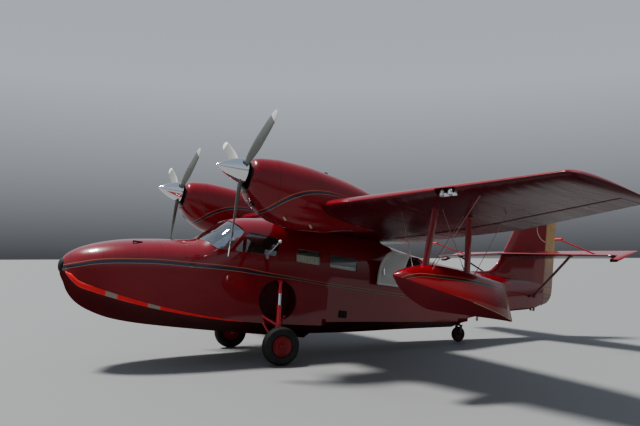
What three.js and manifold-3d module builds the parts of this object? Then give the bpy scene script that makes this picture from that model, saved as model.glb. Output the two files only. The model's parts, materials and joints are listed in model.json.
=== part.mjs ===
// Twin-engined flying boat with wheels, parked on its gear.
// Lengths are millimetres. The craft's own axes are x to port, y aft from the bow and z up from the keel
// at the main step. The whole craft then leans back on its tail wheel by REST_ANGLE.
import * as THREE from 'three';
import { mergeVertices } from 'three/addons/utils/BufferGeometryUtils.js';
import Module from 'manifold-3d';

const wasm = await Module();
wasm.setup();

// Stance on the ground
const REST_ANGLE = THREE.MathUtils.degToRad(7);
const DATUM_HEIGHT = 729.3;
const TYRE_STEPS = 28;

// Height of the centre of a wheel that stands with one flat of its tyre on the ground
function standingHeight(y, radius) {
  const flat = radius * Math.cos(Math.PI / TYRE_STEPS);
  return (flat - DATUM_HEIGHT + y * Math.sin(REST_ANGLE)) / Math.cos(REST_ANGLE);
}

// Clearances
const SEAM = 0.3;
const MOVING_GAP = 8;
const HINGE_PIN = { radius: 9, root: 14, depth: 40, play: 0.5 };

// Hull: each row is one section. The side runs from the chine to the side point and then round a
// superellipse, whose power is the last column, up to the crown.
const HULL_COLUMNS = ['y', 'keel', 'chineX', 'chineZ', 'sideX', 'sideZ', 'crown', 'power'];
const BOW = [
  [0, 690, 40, 725, 45, 750, 800, 2.0],
  [60, 545, 150, 680, 165, 760, 935, 2.0],
  [130, 410, 240, 630, 255, 775, 995, 2.0],
  [260, 270, 360, 530, 380, 790, 1072, 2.1],
  [450, 165, 490, 478, 500, 805, 1150, 2.2],
  [850, 58, 630, 392, 620, 830, 1257, 2.3],
  [1300, 20, 712, 318, 690, 850, 1322, 2.4],
  [1850, 6, 750, 258, 720, 865, 1385, 2.5],
];
const CABIN_FORE = [
  [1850, 6, 750, 258, 720, 865, 1385, 2.5],
  [2150, 2, 757, 236, 728, 880, 1590, 2.7],
  [2450, 0, 760, 222, 730, 890, 1800, 3.0],
  [2900, 0, 760, 222, 730, 890, 1870, 3.0],
  [3500, 0, 760, 243, 730, 890, 1930, 3.0],
  [4000, 0, 755, 268, 728, 885, 1930, 3.0],
];
const CABIN_AFT = [
  [4000, 72, 745, 325, 728, 885, 1930, 3.0],
  [4900, 160, 715, 398, 706, 875, 1900, 3.0],
  [5150, 190, 702, 415, 696, 870, 1760, 3.2],
  [5400, 222, 688, 432, 684, 868, 1695, 3.6],
  [6060, 302, 624, 481, 622, 865, 1592, 3.6],
];
const STERN_FORE = [
  [6060, 302, 624, 481, 622, 865, 1592, 3.6],
  [6500, 352, 555, 512, 556, 865, 1545, 3.0],
  [7040, 412, 455, 552, 458, 880, 1510, 2.5],
];
const STERN_AFT = [
  [7040, 500, 445, 610, 458, 880, 1510, 2.5],
  [7700, 680, 325, 750, 345, 960, 1485, 2.2],
  [8440, 829, 195, 885, 215, 1080, 1480, 2.1],
  [9000, 930, 95, 965, 105, 1150, 1480, 2.0],
  [9180, 1005, 56, 1038, 61, 1178, 1470, 2.0],
];
const ARC_STEPS = 7;
const WALL = 34;
const FLOOR_HEIGHT = 430;
const ROOF_SEAM_HEIGHT = 1640;
const SCREEN_SEAM_Y = 2520;
const SCREEN_SILL_HEIGHT = 1236;
const CABIN_START = 1850;
const CABIN_END = 6060;

// Windows and door, as outlines in the side view of [y, z]
const COCKPIT_WINDOW = [[2350, 1262], [2965, 1250], [3025, 1515], [2570, 1572]];
const SCREEN_PANE = [[28, 1425], [560, 1330], [600, 1420], [430, 1745], [28, 1762]];
const PANE_PLAY = 0.5;
const CABIN_WINDOWS = [
  { y: 3385, width: 430, z: 1215, height: 215 },
  { y: 3985, width: 515, z: 1195, height: 215 },
];
const DOOR = { y: 5385, width: 570, z: 1005, height: 570, corner: 80, cornerCut: 25 };
const DOOR_OPEN = THREE.MathUtils.degToRad(176);
const DOOR_GAP = 6;
const RUDDER_BRACKET = { half: 14, thickness: 14, gap: 6, lowerFrom: 9120, upperFrom: 9150 };
const TAIL_LEG = { top: 640, radius: 36, braceZ: 505, braceReach: 150, braceRadius: 22 };
const DOOR_HINGE = { x: 704, y: 5385, pin: 6, knuckle: 10, leaf: 14, heights: [1040, 1300] };
const PROBE = { root: [700, 2862, 1190], tip: [800, 3050, 1490], radius: 11, ball: 26 };
const FLOOR_BOARD = { half: 300, from: 4620, to: 5220, thickness: 8 };

// Wheel wells
const WELL = { y: 3140, z: 590, radius: 318, wall: 14, bottomX: 480 };

// Wing: each row is one rib
const WING_COLUMNS = ['x', 'leadY', 'leadZ', 'trailY', 'trailZ', 'thickness'];
const WING_RIBS = [
  [0, 3060, 1965, 5370, 1765, 0.15],
  [850, 3062, 1966, 5370, 1765, 0.15],
  [2200, 3070, 1970, 5247, 1803, 0.15],
  [3840, 3279, 2021, 5097, 1850, 0.13],
  [6040, 3560, 2090, 4710, 1985, 0.1],
  [6095, 3610, 2086, 4680, 1990, 0.07],
];
const CENTRE_HALF_SPAN = 2200;
const AIRFOIL_STEPS = 8;
const CAMBER = 0.018;
const FLAP = { from: 1245, to: 3822, chordIn: 470, chordOut: 430 };
const AILERON = { from: 3856, to: 5925, chordIn: 430, chordOut: 290 };
const LAMPS = {
  from: 4290, to: 4680, back: 3455, z: 2042, room: 54, radius: 46, length: 66, places: [4430, 4580],
};

// Engines and propellers
const NACELLE_X = 1700;
const NACELLE_COLUMNS = ['y', 'top', 'bottom', 'halfWidth'];
const NACELLE_SECTIONS = [
  [2062, 2440, 2010, 255],
  [2110, 2500, 1935, 305],
  [2260, 2535, 1800, 360],
  [2500, 2553, 1678, 400],
  [2850, 2537, 1616, 420],
  [3280, 2478, 1630, 410],
  [3600, 2418, 1688, 380],
  [4060, 2288, 1752, 300],
  [4600, 2105, 1850, 130],
];
const NACELLE_WALL = 22;
const FIREWALL_Y = 2980;
const INTAKE = { halfWidth: 222, halfHeight: 187, y: 2100, z: 2237, depth: 120 };
const CHIN_INLET = { from: [1790, 1980, 1875], to: [1772, 2220, 1880], radius: 34 };
const ENGINE = { y: 2240, width: 560, height: 460, z: 2150, shaft: 42 };
const PROP = { y: 1985, z: 2318, blades: 3, first: 33, tilt: -3, hub: 95, hubHalf: 45 };
const SPINNER = { radius: 180, length: 385 };

// Tail
const FIN_OUTLINE = [
  [7350, 1494], [7788, 1552], [7914, 1636], [8000, 1733], [8180, 2056], [8780, 3200], [8860, 3300], [8960, 3345],
  [9195, 3345], [9195, 1472],
];
const FIN_HALF_THICKNESS = 58;
const RUDDER = { hingeY: 9225, trailY: 9470, bottom: 1030, top: 3335, halfThickness: 34 };
const TORQUE_TUBE = { radius: 20, play: 0.6 };
const TAILPLANE_Z = 1920;
const TAILPLANE_RIBS = [
  [0, 8010, 8990, 0.1],
  [2440, 8345, 8950, 0.08],
  [2480, 8380, 8940, 0.05],
];
const ELEVATOR = { from: 95, to: 2480, hingeY: 8620, hornFrom: 2310, hornReach: 190, up: 26 };
const BALANCE_ARM = { x: 1800, root: [8640, 1978], tip: [7775, 2126], thickness: 26, cross: 150 };
const TAIL_STRUT = { foot: [250, 8800, 1195], head: [1560, 8310, 1890], chord: 70, depth: 26 };

// Wing floats and their struts
const FLOAT_X = 3955;
const FLOAT_COLUMNS = ['keelY', 'deckY', 'keel', 'chineX', 'chineZ', 'deck'];
const FLOAT_SECTIONS = [
  [3176, 3172, 1030, 22, 1050, 1076],
  [3240, 3240, 945, 105, 1035, 1120],
  [3420, 3420, 815, 172, 992, 1188],
  [3710, 3710, 713, 228, 932, 1234],
  [4100, 4060, 698, 240, 862, 1220],
  [4500, 4430, 688, 200, 775, 1176],
  [4820, 4690, 677, 85, 705, 1140],
  [4938, 4762, 670, 16, 682, 1128],
];
const FLOAT_STRUTS = [
  { foot: [3585, 1215], head: [3672, 1960] },
  { foot: [4200, 1190], head: [4160, 1885] },
];
const STRUT_SIZE = { chord: 92, depth: 34 };
const WIRE_RADIUS = 5;
const FLOAT_WIRES = [
  { foot: [3830, 3530, 1110], head: [3340, 3560, 1960] },
  { foot: [3982, 4170, 1150], head: [3982, 3690, 1990] },
  { foot: [3928, 3650, 1150], head: [3928, 4150, 1960] },
  { foot: [4030, 3600, 1110], head: [4892, 3600, 2040] },
  { foot: [4050, 4200, 1110], head: [4500, 4310, 1985] },
];

// Landing gear
const MAIN_WHEEL = { x: 1150, y: 3100, z: standingHeight(3100, 287), radius: 287, width: 170, rim: 150 };
const AXLE_RADIUS = 26;
const MAIN_GEAR = { top: [800, 3080, 868], foot: [985, 3094, 215], axleX: 1030, arms: [2895, 3290] };
const TAIL_WHEEL = { y: 7200, z: standingHeight(7200, 140), radius: 140, width: 84, rim: 64 };
const TAIL_AXLE_RADIUS = 12;
const TAIL_FORK = { pivotY: 7182, crownZ: 446, crown: 22, inner: 16, outer: 34 };

// Seats
const SEAT = { width: 430, depth: 460, cushion: 110, back: 95, height: 560, z: 720 };
const SEAT_ROWS = [
  { name: 'pilot_seat', x: 252, y: 2700 },
  { name: 'copilot_seat', x: -252, y: 2700 },
];
const BENCH = { y: 3900, width: 1080 };

// Paint and metal
function finish(color, roughness, metalness = 0, extra = {}) {
  return new THREE.MeshStandardMaterial({ color, roughness, metalness, ...extra });
}
const RED = finish(0x8e1220, 0.22);
const DEEP_RED = finish(0x5e0d18, 0.3);
const GOLD_PAINT = finish(0xb89a5e, 0.35);
const BARE_METAL = finish(0xc9ccd0, 0.25, 1);
const BLADE_GREY = finish(0x8d9092, 0.4, 0.4);
const ENGINE_GREY = finish(0x55585c, 0.6, 0.5);
const TYRE_BLACK = finish(0x1b1b1c, 0.85);
const GLASS = finish(0x9fb4bd, 0.05, 0, { transparent: true, opacity: 0.35 });
const SEAT_CLOTH = finish(0xb3a68c, 0.9);
const PANEL_BLACK = finish(0x1f2022, 0.6);

// Tables become objects with the column names as keys
function table(columns, rows) {
  return rows.map((row) => Object.fromEntries(columns.map((name, i) => [name, row[i]])));
}

function vec(x, y, z) {
  return new THREE.Vector3(x, y, z);
}

function lerp(a, b, t) {
  return a + (b - a) * t;
}

// Signed volume tells whether a closed mesh has its faces outwards
function signedVolume(positions, index) {
  const corner = (i) => vec(positions[3 * i], positions[3 * i + 1], positions[3 * i + 2]);
  let volume = 0;
  for (let i = 0; i < index.length; i += 3) {
    volume += corner(index[i]).dot(corner(index[i + 1]).cross(corner(index[i + 2]))) / 6;
  }
  return volume;
}

function closedGeometry(positions, index) {
  const outward = [];
  const inverted = signedVolume(positions, index) < 0;
  for (let i = 0; i < index.length; i += 3) {
    const [a, b, c] = [index[i], index[i + 1], index[i + 2]];
    outward.push(a, inverted ? c : b, inverted ? b : c);
  }
  const geometry = new THREE.BufferGeometry();
  geometry.setAttribute('position', new THREE.Float32BufferAttribute(positions, 3));
  geometry.setIndex(outward);
  return geometry;
}

// Triangles for one flat ring of points
function capTriangles(ring) {
  const normal = vec(0, 0, 0);
  ring.forEach((p, i) => {
    const q = ring[(i + 1) % ring.length];
    normal.add(vec((p.y - q.y) * (p.z + q.z), (p.z - q.z) * (p.x + q.x), (p.x - q.x) * (p.y + q.y)));
  });
  normal.normalize();
  const side = Math.abs(normal.z) < 0.9 ? vec(0, 0, 1).cross(normal).normalize() : vec(1, 0, 0);
  const other = normal.clone().cross(side);
  const flat = ring.map((p) => new THREE.Vector2(p.dot(side), p.dot(other)));
  return THREE.ShapeUtils.triangulateShape(flat, []);
}

// A closed body through rings of points that all have the same count. Each side of a ring is split the
// mirror image of the other, so that a port piece fits to starboard too.
function loft(rings) {
  const count = rings[0].length;
  const positions = rings.flat().flatMap((p) => [p.x, p.y, p.z]);
  const index = [];
  for (let i = 0; i < rings.length - 1; i += 1) {
    for (let j = 0; j < count; j += 1) {
      const next = (j + 1) % count;
      const [a, b, c, d] = [i * count + j, i * count + next, (i + 1) * count + j, (i + 1) * count + next];
      index.push(...(2 * j < count ? [a, b, d, a, d, c] : [a, b, c, b, d, c]));
    }
  }
  const last = (rings.length - 1) * count;
  capTriangles(rings[0]).forEach(([a, b, c]) => index.push(a, c, b));
  capTriangles(rings.at(-1)).forEach(([a, b, c]) => index.push(last + a, last + b, last + c));
  return closedGeometry(positions, index);
}

// Solids for cutting and joining
function solid(geometry) {
  const bare = geometry.clone();
  bare.deleteAttribute('normal');
  bare.deleteAttribute('uv');
  const merged = mergeVertices(bare, 1e-4);
  const outward = closedGeometry(Array.from(merged.attributes.position.array), Array.from(merged.index.array));
  return new wasm.Manifold(new wasm.Mesh({
    numProp: 3,
    vertProperties: new Float32Array(outward.attributes.position.array),
    triVerts: new Uint32Array(outward.index.array),
  }));
}

function geometryOf(body) {
  const mesh = body.getMesh();
  const geometry = new THREE.BufferGeometry();
  geometry.setAttribute('position', new THREE.Float32BufferAttribute(mesh.vertProperties, 3));
  geometry.setIndex(Array.from(mesh.triVerts));
  return geometry;
}

function box(x0, x1, y0, y1, z0, z1) {
  const geometry = new THREE.BoxGeometry(x1 - x0, y1 - y0, z1 - z0);
  return solid(geometry.translate((x0 + x1) / 2, (y0 + y1) / 2, (z0 + z1) / 2));
}

// A prism whose outline lies in the side view, from x0 to x1
function sidePrism(outline, x0, x1) {
  return solid(loft([x0, x1].map((x) => outline.map(([y, z]) => vec(x, y, z)))));
}

// A cylinder along x
function crossCylinder(x0, x1, y, z, radius, steps = 28) {
  const geometry = new THREE.CylinderGeometry(radius, radius, x1 - x0, steps);
  return solid(geometry.rotateZ(Math.PI / 2).translate((x0 + x1) / 2, y, z));
}

// A round bar between two points
function rod(from, to, radius, steps = 8) {
  const [a, b] = [vec(...from), vec(...to)];
  const along = b.clone().sub(a);
  const geometry = new THREE.CylinderGeometry(radius, radius, along.length(), steps);
  geometry.applyQuaternion(new THREE.Quaternion().setFromUnitVectors(vec(0, 1, 0), along.clone().normalize()));
  return solid(geometry.translate(...a.add(b).multiplyScalar(0.5).toArray()));
}

// A streamlined bar between two points, its chord along the craft
function strut(from, to, chord, depth, steps = 10) {
  const [a, b] = [vec(...from), vec(...to)];
  const side = b.clone().sub(a).cross(vec(0, 1, 0)).normalize();
  const ring = (centre) => Array.from({ length: steps }, (_, i) => {
    const angle = (2 * Math.PI * i) / steps;
    return centre.clone()
      .addScaledVector(vec(0, 1, 0), (Math.cos(angle) * chord) / 2)
      .addScaledVector(side, (Math.sin(angle) * depth) / 2);
  });
  return solid(loft([ring(a), ring(b)]));
}

function mirrored(geometry) {
  const copy = geometry.clone().scale(-1, 1, 1);
  const index = Array.from(copy.index.array);
  for (let i = 0; i < index.length; i += 3) {
    [index[i + 1], index[i + 2]] = [index[i + 2], index[i + 1]];
  }
  copy.setIndex(index);
  return copy;
}

const craft = new THREE.Group();

function place(name, body, material, parent = craft) {
  const mesh = new THREE.Mesh(body.isBufferGeometry ? body : geometryOf(body), material);
  mesh.name = name;
  parent.add(mesh);
  return mesh;
}

// The same body to port and, mirrored, to starboard
function placePair(name, body, material) {
  const geometry = body.isBufferGeometry ? body : geometryOf(body);
  place(`${name}_port`, geometry, material);
  place(`${name}_starboard`, mirrored(geometry), material);
}

// Hull section: keel, chine, side and the arc over the crown, pulled in by inset
function hullRing(row, inset) {
  const { y, keel, chineX, chineZ, sideX, sideZ, crown, power } = row;
  const half = [
    [chineX - inset, chineZ + inset * 0.5],
    [sideX - inset, sideZ],
  ];
  for (let i = 1; i < ARC_STEPS; i += 1) {
    const angle = (Math.PI / 2) * (i / ARC_STEPS);
    half.push([
      (sideX - inset) * Math.cos(angle) ** (2 / power),
      sideZ + (crown - inset - sideZ) * Math.sin(angle) ** (2 / power),
    ]);
  }
  const port = half.map(([x, z]) => vec(x, y, z));
  const starboard = half.map(([x, z]) => vec(-x, y, z)).reverse();
  return [vec(0, y, keel + inset), ...port, vec(0, y, crown - inset), ...starboard];
}

function hullSolid(rows, inset = 0) {
  return solid(loft(table(HULL_COLUMNS, rows).map((row) => hullRing(row, inset))));
}

// Airfoil as [along, across] in parts of the chord, from the trailing edge over the top and back below
function airfoil(thickness, from = 0, to = 1, steps = AIRFOIL_STEPS) {
  const half = (x) => 5 * thickness
    * (0.2969 * Math.sqrt(x) - 0.126 * x - 0.3516 * x ** 2 + 0.2843 * x ** 3 - 0.1015 * x ** 4);
  const middle = (x) => 4 * CAMBER * x * (1 - x);
  const stations = Array.from({ length: steps + 1 }, (_, i) => {
    const t = (1 - Math.cos((Math.PI * i) / steps)) / 2;
    return lerp(from, to, from > 0 ? i / steps : t);
  });
  const top = stations.map((x) => [x, middle(x) + half(x)]).reverse();
  const bottom = stations.map((x) => [x, middle(x) - half(x)]);
  return { top, bottom, half, middle };
}

// The rib at any distance from the centre line
const RIBS = table(WING_COLUMNS, WING_RIBS);
function ribAt(x) {
  const outer = Math.max(1, RIBS.findIndex((rib) => rib.x >= x));
  const [a, b] = [RIBS[outer - 1], RIBS[outer]];
  const t = (x - a.x) / (b.x - a.x);
  return Object.fromEntries(WING_COLUMNS.map((name) => [name, lerp(a[name], b[name], t)]));
}

// Places an airfoil point on a rib
function onRib(rib, along, across) {
  const chord = Math.hypot(rib.trailY - rib.leadY, rib.trailZ - rib.leadZ);
  const dy = (rib.trailY - rib.leadY) / chord;
  const dz = (rib.trailZ - rib.leadZ) / chord;
  return vec(
    rib.x,
    rib.leadY + chord * (along * dy - across * dz),
    rib.leadZ + chord * (along * dz + across * dy),
  );
}

function chordOf(rib) {
  return Math.hypot(rib.trailY - rib.leadY, rib.trailZ - rib.leadZ);
}

// Whole section of the wing at x, grown all round by a few tenths where it cuts its neighbours
function wingRing(x, grow = 0) {
  const rib = ribAt(Math.abs(x));
  rib.x = x;
  const chord = chordOf(rib);
  const { top, bottom } = airfoil(rib.thickness);
  const g = grow / chord;
  const points = [...top.map(([u, v]) => [u, v + g]), ...bottom.slice(1).map(([u, v]) => [u, v - g])];
  return points.map(([u, v]) => onRib(rib, lerp(-3 * g, 1 + g, u), v));
}

function wingSolid(stations, grow = 0) {
  return solid(loft(stations.map((x) => wingRing(x, grow))));
}

// A body on the centre line from its port half
function bothHalves(half) {
  return half.add(solid(mirrored(geometryOf(half))));
}

// Hinge of a trailing surface on the rib at x: its place and the half thickness there
function hingeAt(x, chordLength) {
  const rib = ribAt(x);
  const along = 1 - chordLength / chordOf(rib);
  const { half, middle } = airfoil(rib.thickness);
  const radius = half(along) * chordOf(rib);
  return { rib, along, radius, centre: onRib(rib, along, middle(along)) };
}

// Trailing surface with a round nose on its hinge line
function surfaceRing(x, chordLength) {
  const { rib, along, radius, centre } = hingeAt(x, chordLength);
  const { top, bottom } = airfoil(rib.thickness, along, 1, 3);
  const NOSE_STEPS = 6;
  const nose = Array.from({ length: NOSE_STEPS - 1 }, (_, i) => {
    const angle = (Math.PI * (i + 1)) / NOSE_STEPS;
    return vec(x, centre.y - Math.sin(angle) * radius, centre.z + Math.cos(angle) * radius);
  });
  const upper = top.map(([u, v]) => onRib(rib, u, v));
  const lower = bottom.map(([u, v]) => onRib(rib, u, v));
  return [...upper, ...nose, ...lower];
}

// Bars on the hinge line that run from the wing into both ends of a trailing surface
function hingeBars(spec, radius, inside, outside) {
  const ends = [hingeAt(spec.from, spec.chordIn).centre, hingeAt(spec.to, spec.chordOut).centre];
  const along = ends[1].clone().sub(ends[0]).normalize();
  return ends.map((end, i) => {
    const inward = along.clone().multiplyScalar(i === 0 ? 1 : -1);
    const from = end.clone().addScaledVector(inward, -outside);
    const to = end.clone().addScaledVector(inward, inside);
    return rod(from.toArray(), to.toArray(), radius, 12);
  });
}

function hingePins(spec) {
  return hingeBars(spec, HINGE_PIN.radius, HINGE_PIN.depth, MOVING_GAP + HINGE_PIN.root);
}

function surfaceSolid(spec) {
  const bores = hingeBars(spec, HINGE_PIN.radius + HINGE_PIN.play, HINGE_PIN.depth + HINGE_PIN.play, MOVING_GAP);
  return solid(loft([surfaceRing(spec.from, spec.chordIn), surfaceRing(spec.to, spec.chordOut)]))
    .subtract(bores[0]).subtract(bores[1]);
}

// Room for a trailing surface: from just before its nose to past the trailing edge
function surfaceRoom(spec) {
  const ring = (x, chordLength) => {
    const { radius, centre } = hingeAt(x, chordLength);
    const front = centre.y - radius - MOVING_GAP;
    const back = centre.y + chordLength + 200;
    return [vec(x, front, centre.z - 300), vec(x, back, centre.z - 300), vec(x, back, centre.z + 300),
      vec(x, front, centre.z + 300)];
  };
  return solid(loft([
    ring(spec.from - MOVING_GAP, spec.chordIn),
    ring(spec.to + MOVING_GAP, spec.chordOut),
  ]));
}

// HULL
// Room that holds the whole cabin between two heights
function cabinBand(bottom, top) {
  return box(-900, 900, CABIN_START - 300, CABIN_END + 40, bottom, top);
}
const cabinOuter = hullSolid(CABIN_FORE).add(hullSolid(CABIN_AFT));
const insideRows = [...CABIN_FORE.slice(1), ...CABIN_AFT.slice(1, -1)];
const foreWall = CABIN_FORE[0].with(0, CABIN_START + WALL).with(6, CABIN_FORE[0][6] + 22);
const aftWall = CABIN_AFT.at(-1).with(0, CABIN_END - WALL);
const cabinInner = hullSolid([foreWall, ...insideRows, aftWall], WALL)
  .subtract(cabinBand(-100, FLOOR_HEIGHT));
const wingBlank = bothHalves(wingSolid([0, 850, CENTRE_HALF_SPAN], SEAM));
const shell = cabinOuter.subtract(cabinInner).subtract(wingBlank);

function wellRoom(sign, grow) {
  const { y, z, radius, bottomX } = WELL;
  const [inner, outer] = [sign * (bottomX - grow), sign * 1000];
  return crossCylinder(Math.min(inner, outer), Math.max(inner, outer), y, z, radius + grow);
}
const wells = wellRoom(1, SEAM).add(wellRoom(-1, SEAM));

place('bow_hull', hullSolid([...BOW.slice(0, -1), BOW.at(-1).with(0, CABIN_START - SEAM)]), RED);

const hullBottom = shell.intersect(cabinBand(-100, FLOOR_HEIGHT)).subtract(wells);
const floorBoard = box(-FLOOR_BOARD.half, FLOOR_BOARD.half, FLOOR_BOARD.from, FLOOR_BOARD.to,
  FLOOR_HEIGHT - WALL / 2, FLOOR_HEIGHT + FLOOR_BOARD.thickness);
place('planing_bottom', hullBottom.add(floorBoard), RED);

const sideBand = cabinBand(FLOOR_HEIGHT + SEAM, ROOF_SEAM_HEIGHT);
const screenBand = box(-900, 900, 1800, SCREEN_SEAM_Y, SCREEN_SILL_HEIGHT, 2100);
const screenBandGrown = box(-900, 900, 1700, SCREEN_SEAM_Y + SEAM, SCREEN_SILL_HEIGHT - SEAM, 2200);
const roofBand = cabinBand(ROOF_SEAM_HEIGHT + SEAM, 2200);

// Window openings
function cabinWindowOutline({ y, width, z, height }) {
  const drop = width * 0.03;
  return [[y, z], [y + width, z - drop], [y + width, z + height - drop], [y, z + height]];
}
const windowCuts = CABIN_WINDOWS.map((w) => sidePrism(cabinWindowOutline(w), -900, 900))
  .reduce((a, b) => a.add(b));
const cockpitSideCut = sidePrism(COCKPIT_WINDOW, -900, 900);

// Door outline: rounded at its aft top corner, and level along its top so that the lip swings clear
function doorOutline(grow) {
  const { y, width, z, height, corner, cornerCut } = DOOR;
  return [
    [y - grow, z - grow], [y + width + grow, z - grow], [y + width + grow, z + height - corner],
    [y + width - cornerCut + grow, z + height - cornerCut + grow], [y + width - corner, z + height + grow],
    [y - grow, z + height + grow],
  ];
}

// The door's free edge and the jamb both follow an arc about the hinge, so that the door swings clear
function doorRoom(grow) {
  const radius = DOOR.width + grow;
  const swept = new THREE.CylinderGeometry(radius, radius, DOOR.height * 2, 72).rotateX(Math.PI / 2)
    .translate(DOOR_HINGE.x, DOOR_HINGE.y, DOOR.z + DOOR.height / 2);
  return sidePrism(doorOutline(grow), 200, 900).intersect(solid(swept));
}
const doorCut = doorRoom(0);

const sides = shell.intersect(sideBand).subtract(screenBandGrown).subtract(wells)
  .subtract(windowCuts).subtract(cockpitSideCut);
const portHalf = box(0.5, 900, 1700, 6200, 0, 2200);
const starboardHalf = box(-900, -0.5, 1700, 6200, 0, 2200);
const bulkheads = box(-560, 560, 1800, 2400, 0, 2200)
  .add(box(-470, 470, CABIN_END - 80, CABIN_END + 120, 0, 2200));

// Door hinges: a leaf on the wall with a pin, and above it a leaf on the door that turns on the pin
function wallHinge(z) {
  const { x, y, pin, knuckle, leaf } = DOOR_HINGE;
  return box(560, x, y - 24, y - 2, z, z + leaf).subtract(cabinInner)
    .add(rod([x, y, z], [x, y, z + leaf], knuckle, 12))
    .add(rod([x, y, z], [x, y, z + 2 * leaf], pin, 12));
}
function doorHinge(z) {
  const { x, y, pin, knuckle, leaf } = DOOR_HINGE;
  const low = z + leaf + 2 * SEAM;
  const high = low + leaf;
  return box(x - 6, x + 6, y, y + 40, low, high)
    .add(box(560, x + 6, y + 14, y + 40, low, high))
    .subtract(cabinInner)
    .add(rod([x, y, low], [x, y, high], knuckle, 12))
    .subtract(rod([x, y, low - 1], [x, y, high + 1], pin + HINGE_PIN.play, 12));
}
const portWall = sides.intersect(portHalf).subtract(bulkheads).subtract(doorCut);
const probe = rod(PROBE.root, PROBE.tip, PROBE.radius, 8)
  .add(solid(new THREE.SphereGeometry(PROBE.ball, 12, 8)).translate(PROBE.tip));
const portWallDressed = DOOR_HINGE.heights.reduce((body, z) => body.add(wallHinge(z)), portWall.add(probe));
place('side_wall_port', portWallDressed, RED);
place('side_wall_starboard', sides.intersect(starboardHalf).subtract(bulkheads), RED);

place('cabin_roof', shell.intersect(roofBand).subtract(screenBandGrown).subtract(bulkheads), RED);

// An outline drawn in toward its middle
function shrunk(outline, by) {
  const middle = [0, 1].map((k) => outline.reduce((sum, p) => sum + p[k], 0) / outline.length);
  return outline.map(([u, v]) => {
    const reach = Math.hypot(u - middle[0], v - middle[1]);
    return [u, v].map((value, k) => lerp(value, middle[k], by / reach));
  });
}

// Windscreen: a front pane each side of the middle post
const screenShell = shell.intersect(screenBand);
function frontPane(sign, play = 0) {
  const outline = shrunk(SCREEN_PANE, play);
  return solid(loft([1700, SCREEN_SEAM_Y - 40 - play].map((y) => outline.map(([x, z]) => vec(sign * x, y, z)))));
}
const screenCuts = frontPane(1).add(frontPane(-1)).add(cockpitSideCut);
place('windscreen_frame', screenShell.subtract(screenCuts), RED);

// Glass fills the openings, thinner than the wall
const glassLayer = hullSolid(CABIN_FORE, 12).add(hullSolid(CABIN_AFT, 12))
  .subtract(hullSolid([foreWall, ...insideRows, aftWall], 20));
placePair('windscreen_glass', glassLayer.intersect(frontPane(1, PANE_PLAY)), GLASS);

// THE REST OF THE HULL
const sternSolid = hullSolid([STERN_FORE[0].with(0, CABIN_END + SEAM), ...STERN_FORE.slice(1)])
  .add(hullSolid(STERN_AFT));
function rudderBracket(from, low) {
  const { half, thickness } = RUDDER_BRACKET;
  return box(-half, half, from, RUDDER.hingeY + half, low, low + thickness);
}
const lowerBracketZ = RUDDER.bottom - RUDDER_BRACKET.gap - RUDDER_BRACKET.thickness;
const lowerHinge = rudderBracket(RUDDER_BRACKET.lowerFrom, lowerBracketZ)
  .add(rudderPin(RUDDER.bottom - 2 * RUDDER_BRACKET.gap, RUDDER.bottom + HINGE_PIN.depth, HINGE_PIN.radius));
place('stern_hull', sternSolid.add(lowerHinge), RED);

// WING
const flapRoom = surfaceRoom(FLAP);
const aileronRoom = surfaceRoom(AILERON);
const flapPins = hingePins(FLAP);
const aileronPins = hingePins(AILERON);
const centreHalf = wingSolid([0, 850, CENTRE_HALF_SPAN]).subtract(flapRoom).add(flapPins[0]);
place('wing_centre', bothHalves(centreHalf), RED);
const outerPanel = wingSolid([CENTRE_HALF_SPAN + SEAM, 3840, 6040, 6095]);
const panelPins = aileronPins[0].add(aileronPins[1]).add(flapPins[1]);
const outerWing = outerPanel.subtract(flapRoom).subtract(aileronRoom).add(panelPins);
const lampBay = box(LAMPS.from, LAMPS.to, 3100, LAMPS.back, LAMPS.z - LAMPS.room, LAMPS.z + LAMPS.room);
place('wing_panel_port', outerWing.subtract(lampBay), RED);
place('wing_panel_starboard', mirrored(geometryOf(outerWing)), RED);

// Two landing lamps on one plate, in a bay cut into the port leading edge
function lampSolid(x) {
  const { back, z, radius, length } = LAMPS;
  const shell = new THREE.CylinderGeometry(radius * 0.6, radius, length, 16);
  const lens = new THREE.SphereGeometry(radius, 16, 8).scale(1, 0.3, 1).translate(0, -length / 2, 0);
  return solid(shell).add(solid(lens)).translate([x, back - SEAM - length / 2, z]);
}
const lampPlate = box(LAMPS.from + 40, LAMPS.to - 40, LAMPS.back - 14, LAMPS.back - SEAM,
  LAMPS.z - LAMPS.radius / 2, LAMPS.z + LAMPS.radius / 2);
place('landing_lamps', LAMPS.places.reduce((body, x) => body.add(lampSolid(x)), lampPlate), BARE_METAL);
placePair('flap', surfaceSolid(FLAP), RED);
placePair('aileron', surfaceSolid(AILERON), RED);

// NACELLES
const NACELLE_STEPS = 16;
function nacelleRing({ y, top, bottom, halfWidth }, inset) {
  const middle = (top + bottom) / 2;
  return Array.from({ length: NACELLE_STEPS }, (_, i) => {
    const angle = (2 * Math.PI * i) / NACELLE_STEPS;
    const bulge = (value) => Math.sign(value) * Math.abs(value) ** 0.88;
    return vec(
      NACELLE_X + bulge(Math.cos(angle)) * (halfWidth - inset),
      y,
      middle + bulge(Math.sin(angle)) * ((top - bottom) / 2 - inset),
    );
  });
}
const nacelleRows = table(NACELLE_COLUMNS, NACELLE_SECTIONS);
const nacelleOuter = solid(loft(nacelleRows.map((row) => nacelleRing(row, 0))));
const bayRows = nacelleRows.filter((row) => row.y > INTAKE.y && row.y < FIREWALL_Y - 200);
const bayThrough = (inset) => solid(loft([...bayRows, { ...nacelleRows[5], y: FIREWALL_Y }]
  .map((row) => nacelleRing(row, inset))));
const nacelleBay = bayThrough(NACELLE_WALL);
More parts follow.
